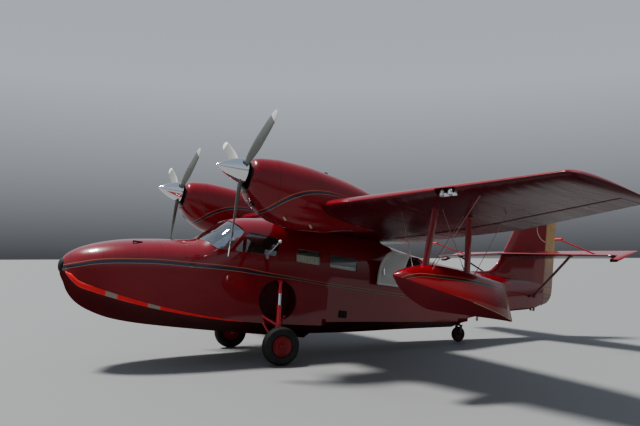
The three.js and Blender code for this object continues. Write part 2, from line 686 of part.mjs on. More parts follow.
const intakeCut = solid(new THREE.CylinderGeometry(1, 1, INTAKE.depth, 24)
  .scale(INTAKE.halfWidth, 1, INTAKE.halfHeight).translate(NACELLE_X, INTAKE.y, INTAKE.z))
  .add(rod(CHIN_INLET.from, CHIN_INLET.to, CHIN_INLET.radius, 12));
const wingNearNacelle = wingSolid([850, CENTRE_HALF_SPAN, 3840], SEAM);
placePair('nacelle', nacelleOuter.subtract(nacelleBay).subtract(intakeCut).subtract(wingNearNacelle), RED);
const engineBlock = box(
  NACELLE_X - ENGINE.width / 2, NACELLE_X + ENGINE.width / 2, ENGINE.y, FIREWALL_Y - SEAM,
  ENGINE.z - ENGINE.height / 2, ENGINE.z + ENGINE.height / 2,
).intersect(bayThrough(NACELLE_WALL + 4));
const shaftTilt = THREE.MathUtils.degToRad(PROP.tilt);
const alongShaft = (distance) => [
  NACELLE_X, PROP.y + distance * Math.cos(shaftTilt), PROP.z + distance * Math.sin(shaftTilt),
];
const propShaft = rod(alongShaft(PROP.hubHalf + SEAM), alongShaft(ENGINE.y + 60 - PROP.y), ENGINE.shaft, 12);
placePair('engine_block', engineBlock.add(propShaft), ENGINE_GREY);

// PROPELLERS
const BLADE_ROWS = [
  [150, 45, 40, 60],
  [330, 105, 32, 40],
  [620, 150, 22, 28],
  [900, 145, 16, 21],
  [1120, 110, 11, 17],
  [1200, 60, 8, 16],
];
const BLADE_COLUMNS = ['radius', 'chord', 'thickness', 'pitch'];
function bladeRing({ radius, chord, thickness, pitch }, sense) {
  const STEPS = 8;
  const turn = THREE.MathUtils.degToRad(pitch) * sense;
  return Array.from({ length: STEPS }, (_, i) => {
    const angle = (2 * Math.PI * i) / STEPS;
    const [u, v] = [(Math.cos(angle) * chord) / 2, (Math.sin(angle) * thickness) / 2];
    return vec(u * Math.cos(turn) - v * Math.sin(turn), u * Math.sin(turn) + v * Math.cos(turn), radius);
  });
}
function propellerSolid() {
  const hub = solid(new THREE.CylinderGeometry(PROP.hub, PROP.hub, 2 * PROP.hubHalf, 16));
  const blade = loft(table(BLADE_COLUMNS, BLADE_ROWS).map((row) => bladeRing({ ...row }, 1)));
  let body = hub;
  for (let i = 0; i < PROP.blades; i += 1) {
    const turned = blade.clone().rotateY(THREE.MathUtils.degToRad((360 / PROP.blades) * i));
    body = body.add(solid(turned)).add(solid(new THREE.CylinderGeometry(34, 34, 110, 10)
      .rotateX(Math.PI / 2).translate(0, 0, 120)
      .rotateY(THREE.MathUtils.degToRad((360 / PROP.blades) * i))));
  }
  return body;
}
function spinnerSolid() {
  const { radius, length } = SPINNER;
  const STEPS = 6;
  const profile = [new THREE.Vector2(0, PROP.hubHalf), new THREE.Vector2(radius, PROP.hubHalf)];
  for (let i = 1; i <= STEPS; i += 1) {
    const t = i / STEPS;
    profile.push(new THREE.Vector2(radius * Math.max(0, 1 - t ** 1.55) ** 0.86, -t * length));
  }
  return solid(new THREE.LatheGeometry(profile.reverse(), 20));
}
const propBody = propellerSolid();
const spinnerBody = spinnerSolid();
const hubRoom = solid(new THREE.CylinderGeometry(
  PROP.hub + 2 * SEAM, PROP.hub + 2 * SEAM, 2 * (PROP.hubHalf + SEAM), 16,
));
const shankRooms = Array.from({ length: PROP.blades }, (_, i) => solid(
  new THREE.CylinderGeometry(52, 52, 200, 10).rotateX(Math.PI / 2).translate(0, 0, 160)
    .rotateY(THREE.MathUtils.degToRad((360 / PROP.blades) * i)),
)).reduce((a, b) => a.add(b));
const spinnerCut = spinnerBody.subtract(hubRoom).subtract(shankRooms);
[['port', 1], ['starboard', -1]].forEach(([side, sign]) => {
  const shaft = new THREE.Group();
  shaft.position.set(sign * NACELLE_X, PROP.y, PROP.z);
  shaft.rotation.x = shaftTilt;
  const turning = new THREE.Group();
  turning.rotation.y = THREE.MathUtils.degToRad(90 - PROP.first);
  shaft.add(turning);
  craft.add(shaft);
  place(`propeller_${side}`, propBody, BLADE_GREY, turning);
  place(`spinner_${side}`, spinnerCut, BARE_METAL, turning);
});

// TAIL
const rudderRoomFront = RUDDER.hingeY - RUDDER.halfThickness - MOVING_GAP;
// Half of the fin's thickness from its leading edge aft, and how much of it is left at the top
const FIN_TAPER = {
  bottom: 1200, top: 3500, narrowing: 0.6,
  halves: [[7200, 2], [8300, FIN_HALF_THICKNESS], [8900, FIN_HALF_THICKNESS], [9300, 30]],
};
const finShape = FIN_OUTLINE.map(([y, z]) => [Math.min(y, rudderRoomFront), z]);
function finSolid() {
  const flat = sidePrism(finShape, -FIN_HALF_THICKNESS, FIN_HALF_THICKNESS);
  const { bottom, top, narrowing, halves } = FIN_TAPER;
  const taper = solid(loft(halves.map(([y, half]) => [
    vec(-half, y, bottom), vec(half, y, bottom), vec(half * narrowing, y, top), vec(-half * narrowing, y, top),
  ])));
  return flat.intersect(taper);
}
const sternGrown = hullSolid(STERN_FORE, -SEAM).add(hullSolid(STERN_AFT, -SEAM));

function tailRing(row, grow = 0) {
  const [x, lead, trail, thickness] = row;
  const rib = { x, leadY: lead, leadZ: TAILPLANE_Z, trailY: trail, trailZ: TAILPLANE_Z };
  const { top, bottom } = airfoil(thickness, 0, 1, 6);
  const chord = trail - lead;
  const flat = ([u, v]) => [u, v - 4 * CAMBER * u * (1 - u)];
  const points = [...top.map(flat), ...bottom.slice(1).map(flat)];
  return points.map(([u, v]) => onRib(rib, u, v + Math.sign(v) * (grow / chord)));
}
const tailBlank = bothHalves(solid(loft(TAILPLANE_RIBS.map((row) => tailRing(row)))));
const tailBlankGrown = bothHalves(solid(loft(TAILPLANE_RIBS.map((row) => tailRing(row, SEAM)))));
const elevatorNose = 30;
const elevatorRoom = box(-2600, 2600, ELEVATOR.hingeY - elevatorNose - MOVING_GAP, 9100, 1700, 2200);
const hornRoom = box(ELEVATOR.hornFrom - MOVING_GAP, 2600, ELEVATOR.hingeY - ELEVATOR.hornReach - MOVING_GAP,
  9100, 1700, 2200);
const tailCuts = elevatorRoom.add(bothHalves(hornRoom));
place('tailplane', tailBlank.subtract(tailCuts), RED);

const elevatorTurn = THREE.MathUtils.degToRad(ELEVATOR.up);
function aboutElevatorHinge(geometry, angle) {
  return geometry.translate(0, -ELEVATOR.hingeY, -TAILPLANE_Z).rotateX(angle)
    .translate(0, ELEVATOR.hingeY, TAILPLANE_Z);
}
const elevatorBand = box(ELEVATOR.from, ELEVATOR.to, ELEVATOR.hingeY, 9100, 1700, 2200)
  .add(box(ELEVATOR.hornFrom, ELEVATOR.to, ELEVATOR.hingeY - ELEVATOR.hornReach, 9100, 1700, 2200))
  .intersect(tailBlank);
const elevatorSpar = crossCylinder(ELEVATOR.from, ELEVATOR.to, ELEVATOR.hingeY, TAILPLANE_Z, 22, 10);
function balanceArm() {
  const { x, root, tip, thickness, cross } = BALANCE_ARM;
  return rod([x, ...root], [x, ...tip], thickness / 2)
    .add(rod([x, ...root], [x, ELEVATOR.hingeY + 34, TAILPLANE_Z + 8], thickness / 2))
    .add(rod([x - cross / 2, ...tip], [x + cross / 2, ...tip], 22));
}
const elevatorRaised = solid(aboutElevatorHinge(geometryOf(elevatorBand.add(elevatorSpar)), elevatorTurn));
const elevatorHalf = elevatorRaised.add(balanceArm());
const torqueTube = crossCylinder(-ELEVATOR.from + SEAM, ELEVATOR.from + 1, ELEVATOR.hingeY, TAILPLANE_Z,
  TORQUE_TUBE.radius, 16);
place('elevator_port', elevatorHalf.add(torqueTube), RED);
place('elevator_starboard', mirrored(geometryOf(elevatorHalf)), RED);

// The fin stands through the tailplane and carries the tube between the elevators and the rudder's upper pin
const slotBlank = tailBlankGrown.subtract(box(-200, 200, ELEVATOR.hingeY - elevatorNose, 9100, 1700, 2200));
const tubeBore = crossCylinder(-100, 100, ELEVATOR.hingeY, TAILPLANE_Z, TORQUE_TUBE.radius + TORQUE_TUBE.play, 16);
function rudderPin(z0, z1, radius) {
  return rod([0, RUDDER.hingeY, z0], [0, RUDDER.hingeY, z1], radius, 12);
}
const upperHinge = rudderBracket(RUDDER_BRACKET.upperFrom, RUDDER.top + RUDDER_BRACKET.gap)
  .add(rudderPin(RUDDER.top - HINGE_PIN.depth, RUDDER.top + 2 * RUDDER_BRACKET.gap, HINGE_PIN.radius));
place('fin', finSolid().subtract(sternGrown).subtract(slotBlank).subtract(tubeBore).add(upperHinge), RED);

function rudderRing(z) {
  const { hingeY, trailY, halfThickness } = RUDDER;
  const NOSE_STEPS = 6;
  const nose = Array.from({ length: NOSE_STEPS + 1 }, (_, i) => {
    const angle = (Math.PI * i) / NOSE_STEPS;
    return vec(Math.cos(angle) * halfThickness, hingeY - Math.sin(angle) * halfThickness, z);
  });
  return [...nose, vec(-3, trailY, z), vec(3, trailY, z)];
}
const rudderOutline = [
  [9000, RUDDER.bottom], [9235, RUDDER.bottom], [9400, 1120], [9470, 1250], [9470, 3100], [9430, 3260],
  [9340, RUDDER.top], [9000, RUDDER.top],
];
const boreDepth = HINGE_PIN.depth + 1;
const boreRadius = HINGE_PIN.radius + HINGE_PIN.play;
const rudderBody = solid(loft([RUDDER.bottom - 10, RUDDER.top + 10].map(rudderRing)))
  .intersect(sidePrism(rudderOutline, -80, 80))
  .subtract(rudderPin(RUDDER.bottom - 10, RUDDER.bottom + boreDepth, boreRadius))
  .subtract(rudderPin(RUDDER.top - boreDepth, RUDDER.top + 10, boreRadius));
place('rudder', rudderBody, GOLD_PAINT);

function tailStrut() {
  const { foot, head, chord, depth } = TAIL_STRUT;
  const toward = [foot[0] - 90, foot[1] + 30, foot[2] - 50];
  const above = [head[0] + 40, head[1] - 15, head[2] + 25];
  return strut(toward, above, chord, depth).subtract(sternGrown).subtract(tailBlankGrown)
    .intersect(box(60, 2000, 8000, 9200, 1000, TAILPLANE_Z - 5));
}
placePair('tailplane_strut', tailStrut(), DEEP_RED);

// FLOATS
const FLOAT_ARC = 6;
function floatRing({ keelY, deckY, keel, chineX, chineZ, deck }, inset = 0) {
  const lean = (z) => lerp(keelY, deckY, (z - keel) / (deck - keel));
  const half = Array.from({ length: FLOAT_ARC }, (_, i) => {
    const angle = (Math.PI / 2) * (i / FLOAT_ARC);
    return [(chineX - inset) * Math.cos(angle) ** 0.9, chineZ + (deck - inset - chineZ) * Math.sin(angle) ** 0.9];
  });
  const port = half.map(([x, z]) => vec(FLOAT_X + x, lean(z), z));
  const starboard = half.map(([x, z]) => vec(FLOAT_X - x, lean(z), z)).reverse();
  return [vec(FLOAT_X, keelY, keel + inset), ...port, vec(FLOAT_X, lean(deck - inset), deck - inset), ...starboard];
}
const floatRows = table(FLOAT_COLUMNS, FLOAT_SECTIONS);
const floatBody = solid(loft(floatRows.map((row) => floatRing(row))));
const floatGrown = solid(loft(floatRows.map((row) => floatRing(row, -SEAM))));
const outerPanelGrown = wingSolid([CENTRE_HALF_SPAN + SEAM, 3840, 6040], SEAM);
const wires = FLOAT_WIRES.map(({ foot, head }) => rod(foot, head, WIRE_RADIUS, 6))
  .reduce((a, b) => a.add(b)).subtract(outerPanelGrown);
placePair('wing_float', floatBody.add(wires), RED);
FLOAT_STRUTS.forEach(({ foot, head }, i) => {
  const bar = strut(
    [FLOAT_X, foot[0], foot[1] - 60], [FLOAT_X, head[0], head[1] + 60], STRUT_SIZE.chord, STRUT_SIZE.depth,
  );
  const trimmed = bar.subtract(floatGrown).subtract(outerPanelGrown)
    .intersect(box(3500, 4400, 3000, 5000, foot[1] - 40, head[1] + 10));
  placePair(i === 0 ? 'float_strut_front' : 'float_strut_rear', trimmed, RED);
});

// WHEEL WELLS AND MAIN GEAR
function wellLiner() {
  const { y, z, radius, wall, bottomX } = WELL;
  const outside = crossCylinder(bottomX, 1000, y, z, radius);
  const inside = crossCylinder(bottomX + wall, 1000, y, z, radius - wall);
  return outside.subtract(inside).intersect(hullSolid(CABIN_FORE));
}
placePair('wheel_well', wellLiner(), DEEP_RED);

const hullGrown = hullSolid(CABIN_FORE, -SEAM);
function mainLeg() {
  const { top, foot, axleX, arms } = MAIN_GEAR;
  const { x, y, z } = MAIN_WHEEL;
  const legs = rod(top, foot, 32, 10)
    .add(rod([top[0], top[1], top[2]], [top[0] - 100, top[1], top[2] + 22], 30, 10))
    .add(rod(foot, [axleX, y, z], 30, 10))
    .add(rod([axleX - 30, y, z], [x + 40, y, z], AXLE_RADIUS, 12));
  return arms.reduce((body, armY) => body.add(rod(foot, [700, armY, 345], 20, 8)), legs);
}
const wellInside = crossCylinder(WELL.bottomX + WELL.wall + SEAM, 1000, WELL.y, WELL.z,
  WELL.radius - WELL.wall - SEAM);
placePair('main_gear_leg', mainLeg().subtract(hullGrown.subtract(wellInside)), RED);

// Tyre section: parts of the half width and of the way from the rim out to the tread
const TYRE_SECTION = [
  [0.45, 1], [0.85, 0.86], [1, 0.5], [0.86, 0.16], [0.55, 0],
  [-0.55, 0], [-0.86, 0.16], [-1, 0.5], [-0.85, 0.86], [-0.45, 1], [0.45, 1],
];
function tyreBody({ radius, width, rim }) {
  const section = TYRE_SECTION.map(([across, out]) => new THREE.Vector2(lerp(rim, radius, out), (across * width) / 2));
  return new THREE.LatheGeometry(section, TYRE_STEPS);
}
function hubBody({ width, rim }, boreRadius) {
  const profile = [
    [boreRadius, -width * 0.36], [rim * 0.5, -width * 0.36], [rim * 0.62, -width * 0.24],
    [rim - 2 * SEAM, -width * 0.1], [rim - 2 * SEAM, width * 0.1], [rim * 0.62, width * 0.24],
    [rim * 0.5, width * 0.36], [boreRadius, width * 0.36], [boreRadius, -width * 0.36],
  ].map(([r, x]) => new THREE.Vector2(r, x));
  return new THREE.LatheGeometry(profile, TYRE_STEPS);
}
function wheel(prefix, spec, x, boreRadius) {
  const axle = new THREE.Group();
  axle.position.set(x, spec.y, spec.z);
  axle.rotation.set(REST_ANGLE + Math.PI / TYRE_STEPS, 0, Math.PI / 2);
  craft.add(axle);
  place(`${prefix}_tyre`, solid(tyreBody(spec)), TYRE_BLACK, axle);
  place(`${prefix}_hub`, solid(hubBody(spec, boreRadius)), DEEP_RED, axle);
}
wheel('port_main', MAIN_WHEEL, MAIN_WHEEL.x, AXLE_RADIUS + HINGE_PIN.play);
wheel('starboard_main', MAIN_WHEEL, -MAIN_WHEEL.x, AXLE_RADIUS + HINGE_PIN.play);

// TAIL WHEEL
wheel('tail', TAIL_WHEEL, 0, TAIL_AXLE_RADIUS + HINGE_PIN.play);
const crownTop = TAIL_FORK.crownZ + TAIL_FORK.crown;
function tailFork() {
  const { y, z, width } = TAIL_WHEEL;
  const { pivotY, crownZ } = TAIL_FORK;
  const outer = width / 2 + TAIL_FORK.outer;
  const inner = width / 2 + TAIL_FORK.inner;
  const crown = box(-outer, outer, pivotY - 40, pivotY + 55, crownZ, crownTop);
  const arm = (sign) => box(Math.min(sign * inner, sign * outer), Math.max(sign * inner, sign * outer),
    y - 28, y + 28, z - 30, crownTop);
  return crown.add(arm(1)).add(arm(-1)).add(crossCylinder(-outer, outer, y, z, TAIL_AXLE_RADIUS, 10));
}
place('tail_fork', tailFork(), DEEP_RED);
const legTop = [0, TAIL_FORK.pivotY, TAIL_LEG.top];
const tailLeg = rod([0, TAIL_FORK.pivotY, crownTop + SEAM], legTop, TAIL_LEG.radius, 12)
  .add(rod([0, TAIL_FORK.pivotY, TAIL_LEG.braceZ], [0, TAIL_FORK.pivotY + TAIL_LEG.braceReach, TAIL_LEG.top],
    TAIL_LEG.braceRadius, 8))
  .subtract(sternGrown);
place('tail_leg', tailLeg, DEEP_RED);

// CABIN DOOR, standing open on its front hinges
const doorPanel = shell.intersect(doorRoom(-DOOR_GAP));
const doorWithHinges = DOOR_HINGE.heights.reduce((body, z) => body.add(doorHinge(z)), doorPanel);
const doorGeometry = geometryOf(doorWithHinges).translate(-DOOR_HINGE.x, -DOOR_HINGE.y, 0).rotateZ(-DOOR_OPEN)
  .translate(DOOR_HINGE.x, DOOR_HINGE.y, 0);
place('cabin_door', doorGeometry, RED);

// GLASS IN THE SIDES: one strip of glass behind both cabin windows, and a pane in the cockpit's side
const GLASS_THICKNESS = 6;
const behindWall = hullSolid([foreWall, ...insideRows, aftWall], WALL + SEAM)
  .subtract(hullSolid([foreWall, ...insideRows, aftWall], WALL + SEAM + GLASS_THICKNESS));
placePair('cabin_glass', behindWall.intersect(box(300, 900, 3345, 4540, 1150, 1470)), GLASS);
placePair('cockpit_glass', glassLayer.intersect(sidePrism(shrunk(COCKPIT_WINDOW, PANE_PLAY), 300, 900)), GLASS);

// BUMPER ON THE BOW
const bowGrown = hullSolid([BOW[0].with(0, -2 * SEAM), ...BOW.slice(1)], -2 * SEAM);
const bumper = solid(new THREE.SphereGeometry(1, 12, 8).scale(120, 62, 110).translate(0, 26, 770))
  .subtract(bowGrown);
place('bow_bumper', bumper, TYRE_BLACK);

// SEATS AND PANEL
function seatBody(width) {
  const { depth, cushion, back, height, z } = SEAT;
  const legs = box(-width / 2 + 40, width / 2 - 40, 40, depth - 60, FLOOR_HEIGHT + SEAM, z - cushion + 5);
  return box(-width / 2, width / 2, 0, depth, z - cushion, z)
    .add(box(-width / 2, width / 2, depth - back, depth, z - cushion, z + height))
    .add(legs);
}
SEAT_ROWS.forEach(({ name, x, y }) => {
  const seat = new THREE.Group();
  seat.position.set(x, y - SEAT.depth / 2, 0);
  craft.add(seat);
  place(name, seatBody(SEAT.width), SEAT_CLOTH, seat);
});
const benchPlace = new THREE.Group();
benchPlace.position.set(0, BENCH.y, 0);
craft.add(benchPlace);
place('rear_bench', seatBody(BENCH.width), SEAT_CLOTH, benchPlace);
const panelBody = box(-600, 600, 2120, 2175, 1080, 1360).intersect(hullSolid([foreWall, ...insideRows], WALL + SEAM))
  .add(rod([252, 2170, 1120], [252, 2400, 1080], 18))
  .add(rod([140, 2400, 1080], [364, 2400, 1080], 16));
place('instrument_panel', panelBody, PANEL_BLACK);

// STANDING ON THE GROUND: origin under the middle of the box round the craft
craft.rotation.x = -REST_ANGLE;
craft.position.z = DATUM_HEIGHT;
const standing = new THREE.Group();
standing.add(craft);
standing.updateMatrixWorld(true);
const extent = new THREE.Box3().setFromObject(standing, true);
craft.position.y -= (extent.min.y + extent.max.y) / 2;
craft.position.z -= extent.min.z;
standing.updateMatrixWorld(true);

export default standing;
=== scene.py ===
"""Finished surfaces of a twin-engined flying boat that stands on its wheels."""

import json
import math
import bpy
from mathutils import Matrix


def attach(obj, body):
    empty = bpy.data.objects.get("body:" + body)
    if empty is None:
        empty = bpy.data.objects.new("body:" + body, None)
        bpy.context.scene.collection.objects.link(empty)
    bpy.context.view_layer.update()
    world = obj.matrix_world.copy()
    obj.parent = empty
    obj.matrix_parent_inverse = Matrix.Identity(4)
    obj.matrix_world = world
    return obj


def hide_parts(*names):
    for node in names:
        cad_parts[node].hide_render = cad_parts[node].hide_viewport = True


bl_info = {
    "name": "Flying boat on its wheels",
    "version": (1, 0, 0),
    "blender": (4, 5, 0),
    "location": "3D View > Sidebar > Flying Boat",
    "description": "Makes the painted surfaces of a flying boat around its fixed frame",
    "category": "Add Mesh",
}

from types import SimpleNamespace

import bmesh
import bpy
import numpy as np
from bpy.props import FloatProperty, FloatVectorProperty, IntProperty, PointerProperty
from mathutils import Matrix, Vector

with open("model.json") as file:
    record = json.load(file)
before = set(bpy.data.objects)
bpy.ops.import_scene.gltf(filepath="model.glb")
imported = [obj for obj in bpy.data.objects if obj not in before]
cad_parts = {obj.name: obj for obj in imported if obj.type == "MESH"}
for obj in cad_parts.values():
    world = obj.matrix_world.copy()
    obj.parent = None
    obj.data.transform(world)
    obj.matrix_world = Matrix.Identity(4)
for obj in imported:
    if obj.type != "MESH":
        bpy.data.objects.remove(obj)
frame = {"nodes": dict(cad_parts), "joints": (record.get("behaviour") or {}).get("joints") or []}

# THE CRAFT'S OWN AXES
# Shapes are drawn in metres with x to port, y aft from the bow and z up from the keel at the main step.
# STANCE then leans the craft back on its tail wheel, as its frame stands.
JOINTS = {joint["name"]: joint for joint in frame["joints"]}
REST_ANGLE = math.radians(7)
ELEVATOR_HINGE = Vector((0, 8.620, 1.920))
LEAN = Matrix.Rotation(-REST_ANGLE, 4, "X")
SHIFT = Vector(JOINTS["elevator_hinge"]["pos_m"]) - LEAN @ ELEVATOR_HINGE
STANCE = Matrix.Translation(SHIFT) @ LEAN
FROM_STANCE = STANCE.inverted()

# HULL SECTIONS
# Each row is one section: the side runs from the chine to the side point and then round a superellipse,
# whose power is the last column, up to the crown.
HULL_COLUMNS = ("y", "keel", "chine_x", "chine_z", "side_x", "side_z", "crown", "power")
HULL_FORE = (
    (0.000, 0.690, 0.040, 0.725, 0.045, 0.750, 0.800, 2.0),
    (0.060, 0.545, 0.150, 0.680, 0.165, 0.760, 0.935, 2.0),
    (0.130, 0.410, 0.240, 0.630, 0.255, 0.775, 0.995, 2.0),
    (0.260, 0.270, 0.360, 0.530, 0.380, 0.790, 1.072, 2.1),
    (0.450, 0.165, 0.490, 0.478, 0.500, 0.805, 1.150, 2.2),
    (0.850, 0.058, 0.630, 0.392, 0.620, 0.830, 1.257, 2.3),
    (1.300, 0.020, 0.712, 0.318, 0.690, 0.850, 1.322, 2.4),
    (1.850, 0.006, 0.750, 0.258, 0.720, 0.865, 1.385, 2.5),
    (2.150, 0.002, 0.757, 0.236, 0.728, 0.880, 1.590, 2.7),
    (2.450, 0.000, 0.760, 0.222, 0.730, 0.890, 1.800, 3.0),
    (2.900, 0.000, 0.760, 0.222, 0.730, 0.890, 1.870, 3.0),
    (3.500, 0.000, 0.760, 0.243, 0.730, 0.890, 1.930, 3.0),
    (4.000, 0.000, 0.755, 0.268, 0.728, 0.885, 1.930, 3.0),
)
HULL_MIDDLE = (
    (4.000, 0.072, 0.745, 0.325, 0.728, 0.885, 1.930, 3.0),
    (4.900, 0.160, 0.715, 0.398, 0.706, 0.875, 1.900, 3.0),
    (5.150, 0.190, 0.702, 0.415, 0.696, 0.870, 1.760, 3.2),
    (5.400, 0.222, 0.688, 0.432, 0.684, 0.868, 1.695, 3.6),
    (6.060, 0.302, 0.624, 0.481, 0.622, 0.865, 1.592, 3.6),
    (6.500, 0.352, 0.555, 0.512, 0.556, 0.865, 1.545, 3.0),
    (7.040, 0.412, 0.455, 0.552, 0.458, 0.880, 1.510, 2.5),
)
HULL_AFT = (
    (7.040, 0.500, 0.445, 0.610, 0.458, 0.880, 1.510, 2.5),
    (7.700, 0.680, 0.325, 0.750, 0.345, 0.960, 1.485, 2.2),
    (8.440, 0.829, 0.195, 0.885, 0.215, 1.080, 1.480, 2.1),
    (9.000, 0.930, 0.095, 0.965, 0.105, 1.150, 1.480, 2.0),
    (9.180, 1.005, 0.056, 1.038, 0.061, 1.178, 1.470, 2.0),
)
SECOND_TABLE_FROM = 4.00
THIRD_TABLE_FROM = 7.04
HULL_END = 9.18
BOTTOM_STEPS = 8
SIDE_STEPS = 6
ARC_STEPS = 24
BOTTOM_HOLLOW = 0.10
CABIN = SimpleNamespace(start=1.884, end=6.026, front=1.7, back=6.1, floor=0.430, ceiling=1.720)

# Openings in the hull's sides: outlines in the side view of (y, z), and how round their corners are
SCREEN_OUTLINE = (
    (1.780, 1.470), (1.895, 1.394), (1.957, 1.364), (2.091, 1.266), (2.285, 1.246), (2.540, 1.598),
    (2.395, 1.715), (2.330, 1.800), (2.20, 1.95), (1.70, 1.95),
)
SCREEN_ROUND = 0.05
SCREEN_FROM, SCREEN_TO = 1.72, 2.75
COCKPIT_WINDOW = ((2.340, 1.258), (3.050, 1.258), (3.105, 1.545), (2.590, 1.582))
WINDOW_TWO = ((3.385, 1.215), (3.815, 1.202), (3.815, 1.417), (3.385, 1.430))
WINDOW_THREE = ((3.985, 1.195), (4.500, 1.180), (4.500, 1.395), (3.985, 1.410))
SIDE_WINDOWS = (
    ("cockpit", COCKPIT_WINDOW, 0.04, ["cockpit_glass_{}"]),
    ("second", WINDOW_TWO, 0.03, ["cabin_glass_{}"]),
    ("third", WINDOW_THREE, 0.03, []),
)
OPENINGS = [(outline, corner) for _, outline, corner, _ in SIDE_WINDOWS] + [(SCREEN_OUTLINE, SCREEN_ROUND)]
PANE = SimpleNamespace(depth=0.010, thickness=0.006)
DOOR_OUTLINE = (
    (5.385, 1.005), (5.955, 1.005), (5.955, 1.495), (5.930, 1.550), (5.875, 1.575), (5.385, 1.575),
)
DOOR_FROM, DOOR_TO = 5.2, 6.2
DOOR_WIDTH = 0.570
DOOR_GAP = 0.006
DOOR_HINGE = Vector((0.704, 5.385, 0))
DOOR_OPEN = math.radians(176)
DOOR_HINGE_HEIGHTS = (1.040, 1.300)
LEAF = SimpleNamespace(thickness=0.014, lift=0.0146, barrel=0.010, pin=0.006, pin_length=0.030)
DOOR_GRIP = SimpleNamespace(y=5.86, z=1.27)
WELL = SimpleNamespace(y=3.140, z=0.590, radius=0.318, wall=0.014, bottom_x=0.480)

# Stripes: the height of each over the craft's length, read between low and high, and where it stands
HULL_STRIPE = SimpleNamespace(low=-0.5, high=9.5, until=6.9, since=-1.0, points=(
    (-0.01, 0.716), (0.22, 0.800), (0.60, 0.893), (0.96, 0.934), (1.34, 0.964), (1.75, 0.973), (2.34, 0.984),
    (2.89, 0.964), (3.48, 0.944), (4.03, 0.916), (4.74, 0.895), (5.46, 0.876), (6.90, 0.850),
))
NACELLE_STRIPE = SimpleNamespace(low=2.0, high=3.7, until=3.4, since=1.0, points=(
    (2.12, 1.590), (2.22, 1.698), (2.37, 1.837), (2.52, 1.955), (2.68, 2.044), (2.88, 2.116), (3.13, 2.150),
    (3.31, 2.145), (3.60, 2.105),
))
FLOAT_STRIPE = SimpleNamespace(low=3.0, high=4.8, until=4.7, since=3.60, points=(
    (3.12, 0.950), (3.21, 1.005), (3.26, 1.040), (3.34, 1.068), (3.49, 1.092), (3.68, 1.095), (3.91, 1.098),
    (4.21, 1.088), (4.57, 1.064), (4.76, 1.050),
))
DECK_SEAMS = (0.104, 0.329, 0.509, 0.668, 0.975, 1.295, 1.640)
HATCH = SimpleNamespace(half_width=0.40, middle=0.985, half_length=0.317, latch_x=0.385, latch_y=0.955)
STRAKE = SimpleNamespace(start=0.085, end=2.62, high=(0.092, 0.012), deep=(0.024, 0.006))

# WING RIBS
WING_COLUMNS = ("x", "lead_y", "lead_z", "trail_y", "trail_z", "thickness")
WING_RIBS = (
    (0.000, 3.060, 1.965, 5.370, 1.765, 0.15),
    (0.850, 3.062, 1.966, 5.370, 1.765, 0.15),
    (2.200, 3.070, 1.970, 5.247, 1.803, 0.15),
    (3.840, 3.279, 2.021, 5.097, 1.850, 0.13),
    (6.040, 3.560, 2.090, 4.710, 1.985, 0.10),
    (6.095, 3.610, 2.086, 4.680, 1.990, 0.07),
)
CENTRE_HALF_SPAN = 2.200
TIP_FROM, TIP_TO = 6.040, 6.095
CAMBER = 0.018
MOVING_GAP = 0.008
DOWNWARD = 0.10
FLAP = SimpleNamespace(inner=1.245, outer=3.822, chord_in=0.470, chord_out=0.430)
AILERON = SimpleNamespace(inner=3.856, outer=5.925, chord_in=0.430, chord_out=0.290)
SURFACE_RINGS = 24

# NACELLES AND PROPELLERS
NACELLE_X = 1.700
NACELLE_COLUMNS = ("y", "top", "bottom", "half")
NACELLE_ROWS = (
    (2.062, 2.440, 2.010, 0.255),
    (2.110, 2.500, 1.935, 0.305),
    (2.260, 2.535, 1.800, 0.360),
    (2.500, 2.553, 1.678, 0.400),
    (2.850, 2.537, 1.616, 0.420),
    (3.280, 2.478, 1.630, 0.410),
    (3.600, 2.418, 1.688, 0.380),
    (4.060, 2.288, 1.752, 0.300),
    (4.600, 2.105, 1.850, 0.130),
)
NACELLE_STEPS = 72
INTAKE = SimpleNamespace(top=2.452, bottom=2.040, half=0.240, y=2.085, power=0.97)
INTAKE_MIDDLE = 2.257
PROP = SimpleNamespace(y=1.985, z=2.318, blades=3, first=33, tilt=-3, hub=0.095, hub_half=0.045)
TIP_PAINT_FROM = 1.06
COLLAR_TO = 0.1735
BLADE_COLUMNS = ("radius", "chord", "thickness", "pitch")
BLADE_ROWS = (
    (0.100, 0.060, 0.060, 60),
    (0.170, 0.066, 0.052, 58),
    (0.330, 0.112, 0.034, 40),
    (0.620, 0.152, 0.022, 28),
    (0.900, 0.146, 0.016, 21),
    (1.120, 0.112, 0.011, 17),
    (1.185, 0.075, 0.009, 16),
    (1.200, 0.030, 0.006, 16),
)
# TAIL
FIN_LEAD = (
    (1.380, 7.200), (1.494, 7.350), (1.520, 7.560), (1.552, 7.788), (1.636, 7.914), (1.733, 8.000),
    (2.056, 8.180), (3.200, 8.780), (3.300, 8.860), (3.345, 8.960),
)
FIN_HALVES = ((7.200, 0.002), (8.300, 0.058), (8.900, 0.058), (9.300, 0.030))
FIN_TRAIL = 9.183
FIN_CAP = 0.035
RUDDER_HINGE_Y = 9.225
RUDDER_NOSE = 0.034
RUDDER_TRAIL = (
    (1.030, 9.250), (1.045, 9.300), (1.070, 9.345), (1.120, 9.400), (1.180, 9.438), (1.250, 9.462),
    (1.340, 9.470), (3.060, 9.470), (3.160, 9.455), (3.260, 9.425), (3.310, 9.385), (3.335, 9.335),
)
TRIM_TAB = SimpleNamespace(front=9.376, back=9.480, low=1.420, high=1.900, slit=0.003)
TAILPLANE_Z = 1.920
TAIL_COLUMNS = ("x", "lead", "trail", "thickness")
TAIL_RIBS = ((0, 8.010, 8.990, 0.10), (2.440, 8.345, 8.950, 0.08), (2.480, 8.380, 8.940, 0.05))
ELEVATOR = SimpleNamespace(inner=0.095, outer=2.480, horn_from=2.310, horn_reach=0.190, up=26, nose=0.030)
